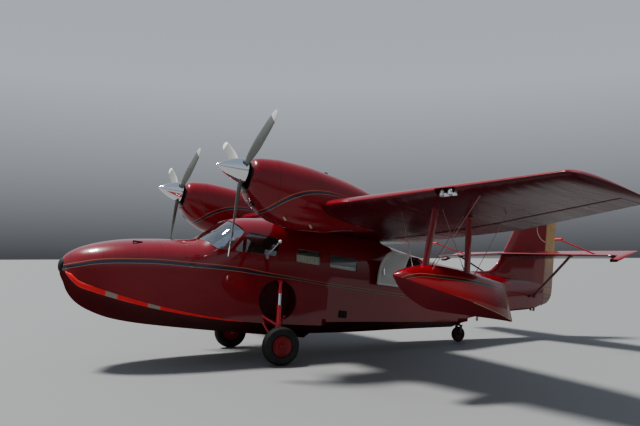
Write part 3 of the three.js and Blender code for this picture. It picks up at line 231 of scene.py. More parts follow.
BALANCE_ARM = SimpleNamespace(x=1.800, root=(8.640, 1.978), tip=(7.775, 2.126), radius=0.013, cross=0.150)
TAIL_STRUT = SimpleNamespace(foot=(0.200, 8.815, 1.170), head=(1.585, 8.300, 1.903), chord=0.070,
                             depth=0.026)

# FLOATS
FLOAT_X = 3.955
FLOAT_COLUMNS = ("keel_y", "deck_y", "keel", "chine_x", "chine_z", "deck")
FLOAT_ROWS = (
    (3.176, 3.172, 1.030, 0.022, 1.050, 1.076),
    (3.240, 3.240, 0.945, 0.105, 1.035, 1.120),
    (3.420, 3.420, 0.815, 0.172, 0.992, 1.188),
    (3.710, 3.710, 0.713, 0.228, 0.932, 1.234),
    (4.100, 4.060, 0.698, 0.240, 0.862, 1.220),
    (4.500, 4.430, 0.688, 0.200, 0.775, 1.176),
    (4.820, 4.690, 0.677, 0.085, 0.705, 1.140),
    (4.938, 4.762, 0.670, 0.016, 0.682, 1.128),
)
FLOAT_STRUTS = (("front", (3.585, 1.190), (3.672, 1.972)), ("rear", (4.200, 1.165), (4.160, 1.900)))
FLOAT_DRAIN_Y = 4.402
WIRE_RADIUS, WIRE_END_RADIUS = 0.0038, 0.0065
FLOAT_WIRES = (
    ((3.830, 3.530, 1.110), (3.340, 3.560, 1.960)),
    ((3.982, 4.170, 1.150), (3.982, 3.690, 1.990)),
    ((3.928, 3.650, 1.150), (3.928, 4.150, 1.960)),
    ((4.030, 3.600, 1.110), (4.892, 3.600, 2.040)),
    ((4.050, 4.200, 1.110), (4.500, 4.310, 1.985)),
)

# LANDING LAMPS
LAMP_BAY = ((4.350, 3.100, 1.945), (4.660, 3.455, 2.052))
LAMP_SPOTS = (4.430, 4.580)
LAMP = SimpleNamespace(z=1.997, front=3.389, radius=0.040, length=0.060)
TIP_LAMP_X, TIP_LAMP_Z = 6.070, 2.098

# RIVETS
RIVET = SimpleNamespace(radius=0.0055, height=0.0022)
RIVET_PITCH = 0.050
HULL_RIVET_ROWS = (1.920, 3.240, 3.930, 4.620, 6.100, 6.750, 7.400, 8.050, 8.700)
WING_SPARS = (0.150, 0.560)
NACELLE_RIVET_ROWS = (2.455, 2.980, 3.330)

# GEAR
OLEO_TOP, OLEO_FOOT = Vector((0.800, 3.130, 0.868)), Vector((0.985, 3.094, 0.215))
DRAG_ARMS = (2.895, 3.290)
TYRE = SimpleNamespace(radius=0.285, width=0.170, rim=0.150)
TAIL_TYRE = SimpleNamespace(radius=0.139, width=0.084, rim=0.064)
TAIL_PIVOT_Y = 7.182
FORK_CROWN = (0.446, 0.468)


# SMALL TOOLS
FUSE = 1e-6
BEVEL_ANGLE = math.radians(35)


def monotone(stations, values):
    """A smooth curve through the points that never overshoots them."""
    xs, ys = np.array(stations, float), np.array(values, float)
    step = np.diff(xs)
    slope = np.diff(ys) / step
    tangent = np.zeros(len(xs))
    tangent[0], tangent[-1] = slope[0], slope[-1]
    for i in range(1, len(xs) - 1):
        if slope[i - 1] * slope[i] > 0:
            before, after = 2 * step[i] + step[i - 1], step[i] + 2 * step[i - 1]
            tangent[i] = (before + after) / (before / slope[i - 1] + after / slope[i])

    def curve(x):
        i = np.clip(np.searchsorted(xs, x) - 1, 0, len(xs) - 2)
        t = (x - xs[i]) / step[i]
        rise = ys[i] * (1 + 2 * t) * (1 - t) ** 2 + ys[i + 1] * t * t * (3 - 2 * t)
        return rise + step[i] * t * (1 - t) * (tangent[i] * (1 - t) - tangent[i + 1] * t)

    return curve


class Sections:
    """The named columns of a table, each as a smooth curve over its first column."""

    def __init__(self, columns, rows, key=float):
        self.key = key
        stations = [key(row[0]) for row in rows]
        self.curves = {name: monotone(stations, [row[i] for row in rows])
                       for i, name in enumerate(columns) if i}
        self.first = columns[0]

    def at(self, station):
        found = {name: float(curve(self.key(station))) for name, curve in self.curves.items()}
        return SimpleNamespace(**found, **{self.first: float(station)})


def lerp(a, b, t):
    return a + (b - a) * t


def angles(steps):
    return [2 * math.pi * j / steps for j in range(steps)]


def circle(y, z, radius, steps):
    """Points round a circle in the side view."""
    return [(y + radius * math.cos(a), z + radius * math.sin(a)) for a in angles(steps)]


def placed(mesh, name="shape"):
    """A new object that shows the mesh."""
    made = bpy.data.objects.new(name, mesh)
    bpy.context.scene.collection.objects.link(made)
    return made


def solid(points, faces):
    """A new mesh object from points and faces, with doubles merged and its faces turned outwards."""
    mesh = bpy.data.meshes.new("shape")
    mesh.from_pydata([tuple(map(float, p)) for p in points], [], [tuple(map(int, f)) for f in faces])
    grid = bmesh.new()
    grid.from_mesh(mesh)
    bmesh.ops.remove_doubles(grid, verts=grid.verts, dist=FUSE)
    bmesh.ops.dissolve_degenerate(grid, edges=grid.edges, dist=FUSE)
    bmesh.ops.recalc_face_normals(grid, faces=grid.faces)
    grid.to_mesh(mesh)
    grid.free()
    return placed(mesh)


def loft(rings, first=True, last=True, closed=True):
    """A skin through rings of points that all have the same count, with flat ends."""
    rings = np.asarray(rings, float)
    rows, count, _ = rings.shape
    faces = []
    for i in range(rows - 1):
        for j in range(count if closed else count - 1):
            k = (j + 1) % count
            faces.append((i * count + j, i * count + k, (i + 1) * count + k, (i + 1) * count + j))
    if first:
        faces.append(tuple(range(count - 1, -1, -1)))
    if last:
        faces.append(tuple((rows - 1) * count + j for j in range(count)))
    return solid(rings.reshape(-1, 3), faces)


def prism(outline, x0, x1):
    """A solid whose outline lies in the side view, from x0 to x1."""
    return loft([[(x, y, z) for y, z in outline] for x in (x0, x1)])


def block(low, high):
    return loft([[(x, low[1], low[2]), (x, high[1], low[2]), (x, high[1], high[2]), (x, low[1], high[2])]
                 for x in (low[0], high[0])])


def rounded(outline, radius, steps=6):
    """The outline with each corner turned into an arc."""
    points = [Vector(p) for p in outline]
    made = []
    for i, corner in enumerate(points):
        back, ahead = (points[i - 1] - corner), (points[(i + 1) % len(points)] - corner)
        opening = back.angle(ahead) / 2
        reach = min(radius / math.tan(opening), back.length * 0.45, ahead.length * 0.45)
        start, end = corner + back.normalized() * reach, corner + ahead.normalized() * reach
        for k in range(steps + 1):
            t = k / steps
            made.append(start.lerp(corner, t).lerp(corner.lerp(end, t), t))
    return [tuple(p) for p in made]


def grown(outline, by):
    """The outline with every side moved outwards, or inwards where by is below zero."""
    points = [Vector(p) for p in outline]
    area = sum(a.x * b.y - b.x * a.y for a, b in zip(points, points[1:] + points[:1]))
    turn = 1 if area > 0 else -1
    made = []
    for i, corner in enumerate(points):
        before = (corner - points[i - 1]).normalized()
        after = (points[(i + 1) % len(points)] - corner).normalized()
        out = Vector((before.y + after.y, -before.x - after.x)).normalized() * turn
        made.append(corner + out * by / max(0.3, math.cos(before.angle(after, 0) / 2)))
    return [tuple(p) for p in made]


def turned(profile, centre, axis, steps=48):
    """A profile of (radius, along) points turned round an axis through centre."""
    axis = Vector(axis).normalized()
    side = axis.orthogonal().normalized()
    other = axis.cross(side)
    centre = Vector(centre)
    rings = []
    for angle in angles(steps):
        outward = side * math.cos(angle) + other * math.sin(angle)
        rings.append([tuple(centre + axis * along + outward * radius) for radius, along in profile])
    rings.append(rings[0])
    return loft(rings, first=False, last=False)


def rod(start, end, radius, steps=16):
    """A round bar between two points."""
    start, end = Vector(start), Vector(end)
    along = (end - start).length
    return turned([(0, 0), (radius, 0), (radius, along), (0, along)], start, end - start, steps)


def tube(points, radius, steps=10):
    """A round bar along a line of points."""
    points = [Vector(p) for p in points]
    rings = []
    side = (points[1] - points[0]).orthogonal().normalized()
    for i, point in enumerate(points):
        ahead = (points[min(i + 1, len(points) - 1)] - points[max(i - 1, 0)]).normalized()
        side = (side - ahead * side.dot(ahead)).normalized()
        other = ahead.cross(side)
        around = [side * math.cos(a) + other * math.sin(a) for a in angles(steps)]
        rings.append([tuple(point + out * radius) for out in around])
    return loft(rings)


def ball(centre, sizes, steps=24):
    """An egg shape with the given half sizes."""
    rings = []
    for i in range(1, steps):
        lat = math.pi * i / steps
        y = centre[1] + sizes[1] * math.cos(lat)
        rings.append([(centre[0] + sizes[0] * math.sin(lat) * math.cos(a), y,
                       centre[2] + sizes[2] * math.sin(lat) * math.sin(a)) for a in angles(2 * steps)])
    return loft(rings)


def strut(start, end, chord, depth, steps=28):
    """A streamlined bar between two points, with its chord along the craft."""
    start, end = Vector(start), Vector(end)
    along = (end - start).normalized()
    side = along.cross(Vector((0, 1, 0))).normalized()
    ahead = side.cross(along)
    rings = []
    for centre in (start, end):
        ring = []
        for angle in angles(steps):
            fullness = 1 + 0.22 * math.cos(angle)
            lengthwise = ahead * math.cos(angle) * chord / 2
            ring.append(tuple(centre - lengthwise + side * math.sin(angle) * fullness * depth / 2))
        rings.append(ring)
    return loft(rings)


def mirrored(body):
    """A copy of the body on the other side."""
    copy = copied(body)
    copy.data.transform(Matrix.Scale(-1, 4, (1, 0, 0)))
    copy.data.flip_normals()
    return copy


def copied(body):
    return placed(body.data.copy())


def dropped(body):
    mesh = body.data
    bpy.data.objects.remove(body)
    bpy.data.meshes.remove(mesh)


def swung(body, pivot, angle, axis):
    """Turns the body about an axis through the pivot."""
    body.data.transform(Matrix.Translation(pivot) @ Matrix.Rotation(angle, 4, axis)
                        @ Matrix.Translation(-pivot))
    return body

def made_plain(body):
    """Turns the body's modifiers into its mesh."""
    graph = bpy.context.evaluated_depsgraph_get()
    mesh = bpy.data.meshes.new_from_object(body.evaluated_get(graph))
    body.modifiers.clear()
    old, body.data = body.data, mesh
    bpy.data.meshes.remove(old)
    return body


def combine(body, tools, operation):
    for tool in tools:
        step = body.modifiers.new("cut", "BOOLEAN")
        step.operation = operation
        step.solver = "MANIFOLD"
        step.object = tool
        made_plain(body)
        dropped(tool)
    return body


def cut(body, *tools):
    return combine(body, tools, "DIFFERENCE")


def common(body, *tools):
    return combine(body, tools, "INTERSECT")


def joined(*bodies):
    """Several bodies as one mesh, with no boolean between them."""
    grid = bmesh.new()
    for body in bodies:
        grid.from_mesh(body.data)
    mesh = bpy.data.meshes.new("shape")
    grid.to_mesh(mesh)
    grid.free()
    made = placed(mesh)
    for body in bodies:
        dropped(body)
    return made


def bevelled(body, width, segments=2):
    step = body.modifiers.new("edges", "BEVEL")
    step.width = width
    step.segments = segments
    step.limit_method = "ANGLE"
    step.angle_limit = BEVEL_ANGLE
    return made_plain(body)


def settle(body, name, rides, slot, looks, nodes=(), sharp=32, rule=None):
    """Gives a body its name, finishes, place in the stance and the frame body that carries it.

    rule takes the centres and normals of the faces and says which of the looks each face has.
    """
    mesh = body.data
    body.name = mesh.name = name
    mesh.materials.clear()
    for look in [looks] if isinstance(looks, str) else looks:
        mesh.materials.append(finish(look))
    if rule:
        count = len(mesh.polygons)
        centres, normals = np.zeros(count * 3), np.zeros(count * 3)
        mesh.polygons.foreach_get("center", centres)
        mesh.polygons.foreach_get("normal", normals)
        chosen = rule(centres.reshape(-1, 3), normals.reshape(-1, 3))
        mesh.polygons.foreach_set("material_index", np.asarray(chosen, np.int32))
    mesh.transform(STANCE)
    mesh.polygons.foreach_set("use_smooth", np.ones(len(mesh.polygons), bool))
    mesh.set_sharp_from_angle(angle=math.radians(sharp))
    mesh.update()
    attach(body, rides)
    if nodes:
        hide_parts(*nodes)
    return body


def settle_pair(body, name, rides, slot, looks, nodes=(), **how):
    """The same body to port and, mirrored, to starboard. Names with a brace take the side's word."""
    other = mirrored(body)
    for side, one in (("port", body), ("starboard", other)):
        taken = [node.format(side) for node in nodes]
        settle(one, name.format(side), rides.format(side), slot, looks, taken, **how)


# SHADER TOOLS
class Field:
    """A value that a material works out at each point of the surface."""

    def __init__(self, finish, socket):
        self.finish = finish
        self.socket = socket

    def maths(self, operation, *others):
        """A Math node on this value and the others."""
        return self.finish.node("ShaderNodeMath", {"operation": operation}, dict(enumerate((self, *others))))

    def __add__(self, other):
        return self.maths("ADD", other)

    def __sub__(self, other):
        return self.maths("SUBTRACT", other)

    def __rsub__(self, other):
        return self.finish.node("ShaderNodeMath", {"operation": "SUBTRACT"}, {0: other, 1: self})

    def __mul__(self, other):
        return self.maths("MULTIPLY", other)

    def __truediv__(self, other):
        return self.maths("DIVIDE", other)

    def __abs__(self):
        return self.maths("ABSOLUTE")

    __radd__ = __add__
    __rmul__ = __mul__

    def above(self, limit, soft=0.002):
        """1 where the value is over the limit, 0 below it, with a soft edge."""
        return self.finish.node("ShaderNodeMapRange", {"clamp": True}, {
            0: self, 1: limit - soft, 2: limit + soft, 3: 0.0, 4: 1.0})

    def below(self, limit, soft=0.002):
        return 1 - self.above(limit, soft)

    def near(self, centre, half, soft=0.002):
        """1 within half of the centre."""
        return abs(self - centre).below(half, soft)

    def most(self, other):
        return self.maths("MAXIMUM", other)

    def along(self, line):
        """A height read off the curve through the line's (value, height) points."""
        heights = [h for _, h in line.points]
        base, span = min(heights), max(heights) - min(heights)
        reach = line.high - line.low
        spots = [((x - line.low) / reach, (h - base) / span) for x, h in line.points]
        height = self.finish.node("ShaderNodeFloatCurve", {}, {"Value": (self - line.low) / reach})
        mapping = height.socket.node.mapping
        points = mapping.curves[0].points
        points[0].location = spots[0]
        points[1].location = spots[-1]
        for spot in spots[1:-1]:
            points.new(*spot)
        mapping.update()
        return height * span + base


class Finish:
    """One material. Its nodes come from node(), and its numbers from expressions on Fields."""

    def __init__(self, name, **surface):
        self.material = bpy.data.materials.new(name)
        self.material.use_nodes = True
        self.tree = self.material.node_tree
        self.shader = self.tree.nodes["Principled BSDF"]
        self.place = self.node("ShaderNodeMapping", {"vector_type": "POINT"}, {
            "Vector": self.node("ShaderNodeTexCoord", output="Object"),
            "Location": FROM_STANCE.to_translation(),
            "Rotation": FROM_STANCE.to_euler()})
        self.set(**surface)

    def feed(self, socket, value):
        if isinstance(value, Field):
            self.tree.links.new(value.socket, socket)
        else:
            socket.default_value = value

    def node(self, kind, settings=None, inputs=None, output=0):
        made = self.tree.nodes.new(kind)
        for key, value in (settings or {}).items():
            setattr(made, key, value)
        for key, value in (inputs or {}).items():
            self.feed(made.inputs[key], value)
        return Field(self, made.outputs[output])

    def axes(self):
        """The point's x, y and z in the craft's axes."""
        split = self.node("ShaderNodeSeparateXYZ", {}, {0: self.place}).socket.node
        return [Field(self, output) for output in split.outputs]

    def mix(self, factor, low, high):
        """Colour low where the factor is 0 and colour high where it is 1."""
        return self.node("ShaderNodeMix", {"data_type": "RGBA"}, {0: factor, 6: low, 7: high}, output=2)

    def noise(self, scale, detail=3.0, rough=0.5, stretch=None):
        place = self.place
        if stretch:
            place = self.node("ShaderNodeMapping", {}, {"Vector": place, "Scale": stretch})
        return self.node("ShaderNodeTexNoise", {}, {
            "Vector": place, "Scale": scale, "Detail": detail, "Roughness": rough})

    def bump(self, height, strength, distance):
        return self.node("ShaderNodeBump", {}, {"Height": height, "Strength": strength, "Distance": distance})

    def set(self, **surface):
        for name, value in surface.items():
            self.feed(self.shader.inputs[name.replace("_", " ").title().replace("Ior", "IOR")], value)
        return self


def colour(red, green, blue):
    """A colour given in the parts of 255 that a screen shows, as light for the shader."""
    def linear(value):
        value /= 255
        return value / 12.92 if value <= 0.04045 else ((value + 0.055) / 1.055) ** 2.4
    return (linear(red), linear(green), linear(blue), 1.0)


# PAINTS AND METALS
NAVY = colour(16, 32, 58)
# The navy band turns greyer aft
GREYER_NAVY = colour(30, 38, 40)
GOLD_LINE = colour(176, 108, 72)
PALE_LINE = colour(150, 128, 104)
PATCH_GREY = colour(150, 132, 122)
SEAM_RED = colour(58, 8, 16)
# The under reds are a painted shade: a darker red for the faces that look down or ahead
UNDER_PAINTED_SHADE = colour(74, 6, 18)
UNDER_SHADE = colour(56, 4, 13)
WING_RIBS_PER_METRE = 3.3
RUDDER_RIBS_PER_METRE = 4.6
STRAKE_PATCHES = ((0.675, 0.078), (1.265, 0.086))
RUDDER_BARS = ((1.385, 0.006), (1.235, 0.007), (1.165, 0.007))
TAIL_RING = SimpleNamespace(y=9.226, z=2.560, reach_y=0.300, reach_z=0.268)


def lay_stripe(paint, base, stripe, y, z):
    """The navy band along the stripe, narrower aft, with a gold line over it and a pale line under it."""
    aft = y.above(3.10, 0.5)
    offset = (z - y.along(stripe)) * (aft * 0.9 + 1.0)
    here = y.below(stripe.until, 0.25)
    half = bpy.context.scene.flying_boat.paint.band / 2
    band = offset.near(0, half, 0.003) * here * y.above(stripe.since, 0.15)
    base = paint.mix(band, base, paint.mix(aft, NAVY, GREYER_NAVY))
    base = paint.mix(offset.near(half + 0.020, 0.0045, 0.003) * here, base, GOLD_LINE)
    return paint.mix(offset.near(-half - 0.004, 0.0035, 0.003) * here, base, PALE_LINE)


def red_paint(name, stripe=None, marks=None, ripple=0.0, gloss=1.0, under=False):
    """Deep red gloss over metal skin, duller where it faces the ground; with under, its red is darker there,
    a painted shade.
    """
    body = bpy.context.scene.flying_boat.paint
    deep, shade = (UNDER_PAINTED_SHADE, UNDER_SHADE) if under else (tuple(body.red), tuple(body.red_shade))
    paint = Finish(name, coat_weight=gloss, coat_roughness=0.16 if under else 0.03, coat_ior=1.45,
                   specular_ior_level=0.15)
    x, y, z = paint.axes()
    base = paint.mix(paint.noise(0.9, 3.0).above(0.5, 0.25), shade, deep)
    if stripe:
        base = lay_stripe(paint, base, stripe, y, z)
    if marks:
        base = marks(paint, base, x, y, z)
    relief = paint.noise(2.4, 2.0, 0.4) + paint.noise(420.0, 2.0) * 0.004
    if ripple:
        relief = relief + paint.noise(1.3, 3.0, 0.5, (6.0, 1.0, 1.0)) * ripple
    paint.set(base_color=base, roughness=paint.noise(6.0, 4.0) * 0.05 + 0.24,
              normal=paint.bump(relief, 0.28, 0.006))
    return paint.material


def deck_marks(paint, base, x, y, z):
    """Seams across the bow deck and the hatch's edge."""
    seams = y.near(DECK_SEAMS[0], 0.0022, 0.0012)
    for station in DECK_SEAMS[1:]:
        seams = seams.most(y.near(station, 0.0022, 0.0012))
    deck = (z - y.along(HULL_STRIPE)).above(0.05, 0.01) * y.below(1.75, 0.01)
    edge = abs(x).near(HATCH.half_width, 0.0025, 0.0015)
    hatch = edge * y.near(HATCH.middle, HATCH.half_length) * z.above(1.0)
    return paint.mix((seams * deck).most(hatch), base, SEAM_RED)


def fin_marks(paint, base, x, y, z):
    """The cream quarter ring ahead of the rudder."""
    across, up = (y - TAIL_RING.y) / TAIL_RING.reach_y, (z - TAIL_RING.z) / TAIL_RING.reach_z
    reach = (across * across + up * up).maths("SQRT")
    ring = reach.near(1.0, 0.022, 0.012) * z.below(TAIL_RING.z, 0.01)
    return paint.mix(ring, base, colour(222, 206, 170))


def wing_marks(paint, base, x, y, z):
    """Fine rib lines under the skin."""
    ribs = (abs(x) * WING_RIBS_PER_METRE).maths("FRACT").near(0.5, 0.008, 0.004)
    return paint.mix(ribs * 0.35, base, colour(84, 10, 22))


def float_painted_sunlight(paint, base, x, y, z):
    """A brighter red on the forward half, under the lines, is painted sunlight."""
    low = (z - y.along(FLOAT_STRIPE)).below(-0.025, 0.008)
    return paint.mix(y.below(4.25, 0.35) * low * 0.8, base, colour(206, 8, 24))


def nacelle_marks(paint, base, x, y, z):
    """The joints of the cowl's plates."""
    seams = y.near(2.42, 0.0028, 0.0015).most(y.near(3.02, 0.0022, 0.0015))
    return paint.mix(seams, base, colour(46, 6, 14))


def rudder_gold(name):
    """Gold paint over ribs a hand's breadth apart, greyer towards the foot."""
    paint = Finish(name, coat_weight=0.4, coat_roughness=0.12)
    x, y, z = paint.axes()
    rib = (z * RUDDER_RIBS_PER_METRE).maths("FRACT").near(0.5, 0.05, 0.04)
    cloud = paint.noise(5.0, 4.0)
    tan = paint.mix(cloud.above(0.5, 0.3), colour(186, 150, 92), colour(150, 112, 70))
    tan = paint.mix(z.below(1.86, 0.10), tan, colour(158, 122, 104))
    tan = paint.mix(z.below(1.20, 0.16) * 0.8, tan, colour(104, 74, 62))
    bars = z.near(*RUDDER_BARS[0], 0.004)
    for height, half in RUDDER_BARS[1:]:
        bars = bars.most(z.near(height, half, 0.004))
    tan = paint.mix(bars * 0.7, tan, colour(74, 40, 34))
    paint.set(base_color=tan, roughness=cloud * 0.15 + 0.34, normal=paint.bump(rib + cloud * 0.3, 0.4, 0.003))
    return paint.material


def strake_sunlit_paint(name):
    """Bright red, a painted sunlight on the strip, with two grey patches."""
    paint = Finish(name, specular_ior_level=0.2)
    x, y, z = paint.axes()
    (first, first_half), (second, second_half) = STRAKE_PATCHES
    patch = y.near(first, first_half, 0.006).most(y.near(second, second_half, 0.006))
    cloud = paint.noise(14.0, 4.0)
    red = paint.mix(cloud.above(0.5, 0.3), colour(240, 30, 38), colour(224, 20, 30))
    paint.set(base_color=paint.mix(patch, red, PATCH_GREY), roughness=cloud * 0.2 + 0.3,
              normal=paint.bump(cloud, 0.1, 0.001))
    return paint.material


def sheet_metal(name, tint, rough, spread=0.08):
    metal = Finish(name, metallic=1.0, base_color=colour(*tint))
    metal.set(roughness=metal.noise(60.0, 4.0) * spread + rough,
              normal=metal.bump(metal.noise(9.0), 0.15, 0.002))
    return metal.material


def rubber(name, tint, dust):
    made = Finish(name, specular_ior_level=0.22)
    grime = made.noise(7.0, 5.0)
    made.set(base_color=made.mix(grime.above(0.52, 0.2), colour(*tint), colour(*dust)),
             roughness=grime * 0.2 + 0.65, normal=made.bump(made.noise(260.0, 3.0), 0.3, 0.001))
    return made.material


def satin(name, tint, worn, rough=0.45, scale=5.0, metallic=0.0, dull=0.5):
    made = Finish(name, metallic=metallic, specular_ior_level=dull)
    cloud = made.noise(scale, 4.0)
    made.set(base_color=made.mix(cloud.above(0.5, 0.3), colour(*tint), colour(*worn)),
             roughness=cloud * 0.18 + rough, normal=made.bump(made.noise(180.0), 0.12, 0.001))
    return made.material


def glass(name, tint, clear):
    """A thin pane: what is behind shows through, and the sky shows on it at a slant."""
    made = Finish(name)
    sheen = made.node("ShaderNodeFresnel", {}, {"IOR": 1.5})
    film = made.node("ShaderNodeBsdfGlossy", {}, {"Color": (1, 1, 1, 1), "Roughness": 0.02})
    through = made.node("ShaderNodeBsdfTransparent", {}, {"Color": (*tint, 1)})
    share = made.node("ShaderNodeMath", {"operation": "MULTIPLY_ADD", "use_clamp": True},
                      {0: sheen, 1: 0.95, 2: clear})
    both = made.node("ShaderNodeMixShader", {}, {0: share, 1: through, 2: film})
    made.tree.links.new(both.socket, made.tree.nodes["Material Output"].inputs["Surface"])
    made.tree.nodes.remove(made.shader)
    return made.material


def woven(name, tint, thread):
    """Cloth with a fine weave."""
    made = Finish(name, sheen_weight=0.3)
    x, y, z = made.axes()
    weave = (x * 900.0).maths("SINE") * (z * 900.0).maths("SINE")
    made.set(base_color=made.mix(made.noise(3.0, 4.0).above(0.5, 0.3), colour(*tint), colour(*thread)),
             roughness=0.9, normal=made.bump(weave, 0.3, 0.001))
    return made.material


# Each finish by name: the function that makes it, and what that function is told
RECIPES = {
    "hull red": (red_paint, dict(stripe=HULL_STRIPE, marks=deck_marks)),
    "plain red": (red_paint, dict()),
    "nacelle red": (red_paint, dict(stripe=NACELLE_STRIPE, marks=nacelle_marks, gloss=0.5)),
    # The float's red has painted sunlight on its forward half
    "float red": (red_paint, dict(stripe=FLOAT_STRIPE, marks=float_painted_sunlight, gloss=0.6)),
    "fin red": (red_paint, dict(marks=fin_marks)),
    "wing red": (red_paint, dict(marks=wing_marks, ripple=3.0, gloss=0.6)),
    # The under finishes paint shade: a darker red for the faces that look down or ahead
    "wing under": (red_paint, dict(marks=wing_marks, ripple=9.0, gloss=0.16, under=True)),
    "plain under": (red_paint, dict(gloss=0.16, under=True)),
    "rudder gold": (rudder_gold, dict()),
    # The chine strip's finish: a brighter red that paints sunlight on it
    "strake red": (strake_sunlit_paint, dict()),
    "hub red": (satin, dict(tint=(132, 6, 18), worn=(96, 4, 12), rough=0.34, scale=9.0, dull=0.3)),
    # A darker red: painted shade inside the wheel wells
    "bay red": (satin, dict(tint=(84, 6, 16), worn=(46, 4, 10), rough=0.5, scale=6.0, dull=0.2)),
    "dark red": (satin, dict(tint=(92, 14, 22), worn=(66, 10, 16), rough=0.32)),
    # A lighter red than the body paint: painted sunlight on the gear legs and balance arms
    "bright red": (satin, dict(tint=(214, 34, 46), worn=(190, 24, 36), rough=0.28)),
    # Darker, duller reds under the hull and the floats: painted shade
    "bottom maroon": (satin, dict(tint=(84, 3, 14), worn=(64, 2, 10), rough=0.55, scale=1.5, dull=0.05)),
    "float bottom": (satin, dict(tint=(106, 24, 34), worn=(88, 16, 26), rough=0.5, scale=2.0, dull=0.1)),
    # A darker red on the cowl's lip: painted shade
    "lip maroon": (satin, dict(tint=(60, 8, 16), worn=(44, 6, 12), rough=0.5, dull=0.15)),
    "gold": (satin, dict(tint=(188, 160, 104), worn=(164, 136, 84), rough=0.34)),
    "lamp red": (satin, dict(tint=(220, 30, 30), worn=(200, 20, 20), rough=0.1)),
    "lamp green": (satin, dict(tint=(30, 170, 90), worn=(20, 150, 80), rough=0.1)),
    "lamp white": (satin, dict(tint=(244, 244, 240), worn=(230, 230, 226), rough=0.1)),
    "white paint": (satin, dict(tint=(232, 230, 224), worn=(214, 210, 202), rough=0.35)),
    "wire steel": (satin, dict(tint=(158, 112, 106), worn=(120, 78, 74), scale=30.0)),
    "exhaust": (satin, dict(tint=(196, 156, 128), worn=(150, 112, 90), rough=0.5, scale=14.0)),
    "blade grey": (satin, dict(tint=(124, 126, 120), worn=(106, 108, 104), rough=0.40, scale=3.0, dull=0.35)),
    "blade tip": (satin, dict(tint=(232, 230, 224), worn=(214, 212, 204), rough=0.4)),
    "probe grey": (satin, dict(tint=(132, 124, 140), worn=(110, 100, 118), rough=0.35)),
    "engine grey": (satin, dict(tint=(70, 72, 74), worn=(48, 49, 50), rough=0.6, scale=12.0, metallic=0.5)),
    # Black inside the intakes: painted shade
    "duct black": (satin, dict(tint=(14, 14, 15), worn=(26, 25, 24), rough=0.6)),
    "satin black": (satin, dict(tint=(30, 30, 32), worn=(44, 44, 46), rough=0.4)),
    "panel black": (satin, dict(tint=(26, 26, 28), worn=(36, 36, 38), rough=0.6)),
    "dial face": (satin, dict(tint=(150, 150, 148), worn=(90, 90, 92), rough=0.35, scale=40.0)),
    "door edge": (satin, dict(tint=(196, 194, 188), worn=(176, 174, 170), rough=0.6)),
    "door lining": (satin, dict(tint=(176, 176, 172), worn=(160, 160, 156), rough=0.7)),
    "cabin lining": (satin, dict(tint=(150, 142, 128), worn=(132, 124, 112), rough=0.8)),
    "bumper rubber": (rubber, dict(tint=(16, 17, 20), dust=(28, 30, 34))),
    "tyre rubber": (rubber, dict(tint=(26, 26, 25), dust=(48, 46, 43))),
    "seal black": (rubber, dict(tint=(20, 18, 18), dust=(34, 30, 30))),
    "polished metal": (sheet_metal, dict(tint=(225, 226, 228), rough=0.06, spread=0.04)),
    "lamp bowl": (sheet_metal, dict(tint=(240, 240, 240), rough=0.12, spread=0.02)),
    "chrome": (sheet_metal, dict(tint=(235, 236, 238), rough=0.04, spread=0.02)),
    "dull metal": (sheet_metal, dict(tint=(150, 150, 150), rough=0.4)),
    "collar grey": (sheet_metal, dict(tint=(120, 120, 126), rough=0.3)),
    # Curtain cloth: its own cream, lightened to near white as painted light for curtains that sit in shade
    "curtain": (woven, dict(tint=(250, 244, 224), thread=(240, 232, 208))),
    "seat cloth": (woven, dict(tint=(178, 164, 138), thread=(160, 146, 120))),
    "screen glass": (glass, dict(tint=(0.62, 0.66, 0.70), clear=0.30)),
    "clear glass": (glass, dict(tint=(0.93, 0.96, 0.96), clear=0.02)),
    "lamp lens": (glass, dict(tint=(0.96, 0.98, 1.0), clear=0.08)),
}
FINISHES = {}


def finish(name):
    """Each finish is made once, when the first piece asks for it."""
    if name not in FINISHES:
        maker, options = RECIPES[name]
        FINISHES[name] = maker(name, **options)
    return FINISHES[name]


# THE HULL
FORE = Sections(HULL_COLUMNS, HULL_FORE, key=lambda y: math.sqrt(max(y, 0)))
MIDDLE = Sections(HULL_COLUMNS, HULL_MIDDLE)
AFT = Sections(HULL_COLUMNS, HULL_AFT)


def hull_ring(row, inset=0.0, ceiling=None):
    """One section of the hull, round from the keel over the port side, pulled in by inset."""
    across = np.linspace(0, 1, BOTTOM_STEPS + 1)
    hollow = 0 if inset else BOTTOM_HOLLOW * (row.chine_z - row.keel) * np.sin(np.pi * across)
    bottom = np.stack([(row.chine_x - inset) * across,
                       lerp(row.keel + inset, row.chine_z + inset / 2, across) + hollow], 1)
    up = np.linspace(0, 1, SIDE_STEPS + 1)[1:-1]
    side = np.stack([lerp(row.chine_x, row.side_x, up) - inset,
                     lerp(row.chine_z + inset / 2, row.side_z, up)], 1)
    angle = np.linspace(0, np.pi / 2, ARC_STEPS + 1)
    arc = np.stack([(row.side_x - inset) * np.cos(angle).clip(0) ** (2 / row.power),
                    row.side_z + (row.crown - inset - row.side_z) * np.sin(angle) ** (2 / row.power)], 1)
    half = np.concatenate([bottom, side, arc])
    if ceiling:
        half[:, 1] = np.minimum(half[:, 1], ceiling)
    port = [(x, row.y, z) for x, z in half]
    starboard = [(-x, row.y, z) for x, z in half[1:-1]][::-1]
    return port + starboard


def section_at(y):
    return (FORE if y < SECOND_TABLE_FROM else MIDDLE if y < THIRD_TABLE_FROM else AFT).at(y)


def hull_x(y, z):
    """Half the hull's breadth at a station and a height."""
    row = section_at(y)
    if z <= row.side_z:
        return lerp(row.chine_x, row.side_x, (z - row.chine_z) / (row.side_z - row.chine_z))
    rise = min(1.0, (z - row.side_z) / (row.crown - row.side_z))
    return row.side_x * (1 - rise ** row.power) ** (1 / row.power)


def fore_stations(start, end, count):
    roots = np.linspace(math.sqrt(start), math.sqrt(end), count)
    return roots ** 2


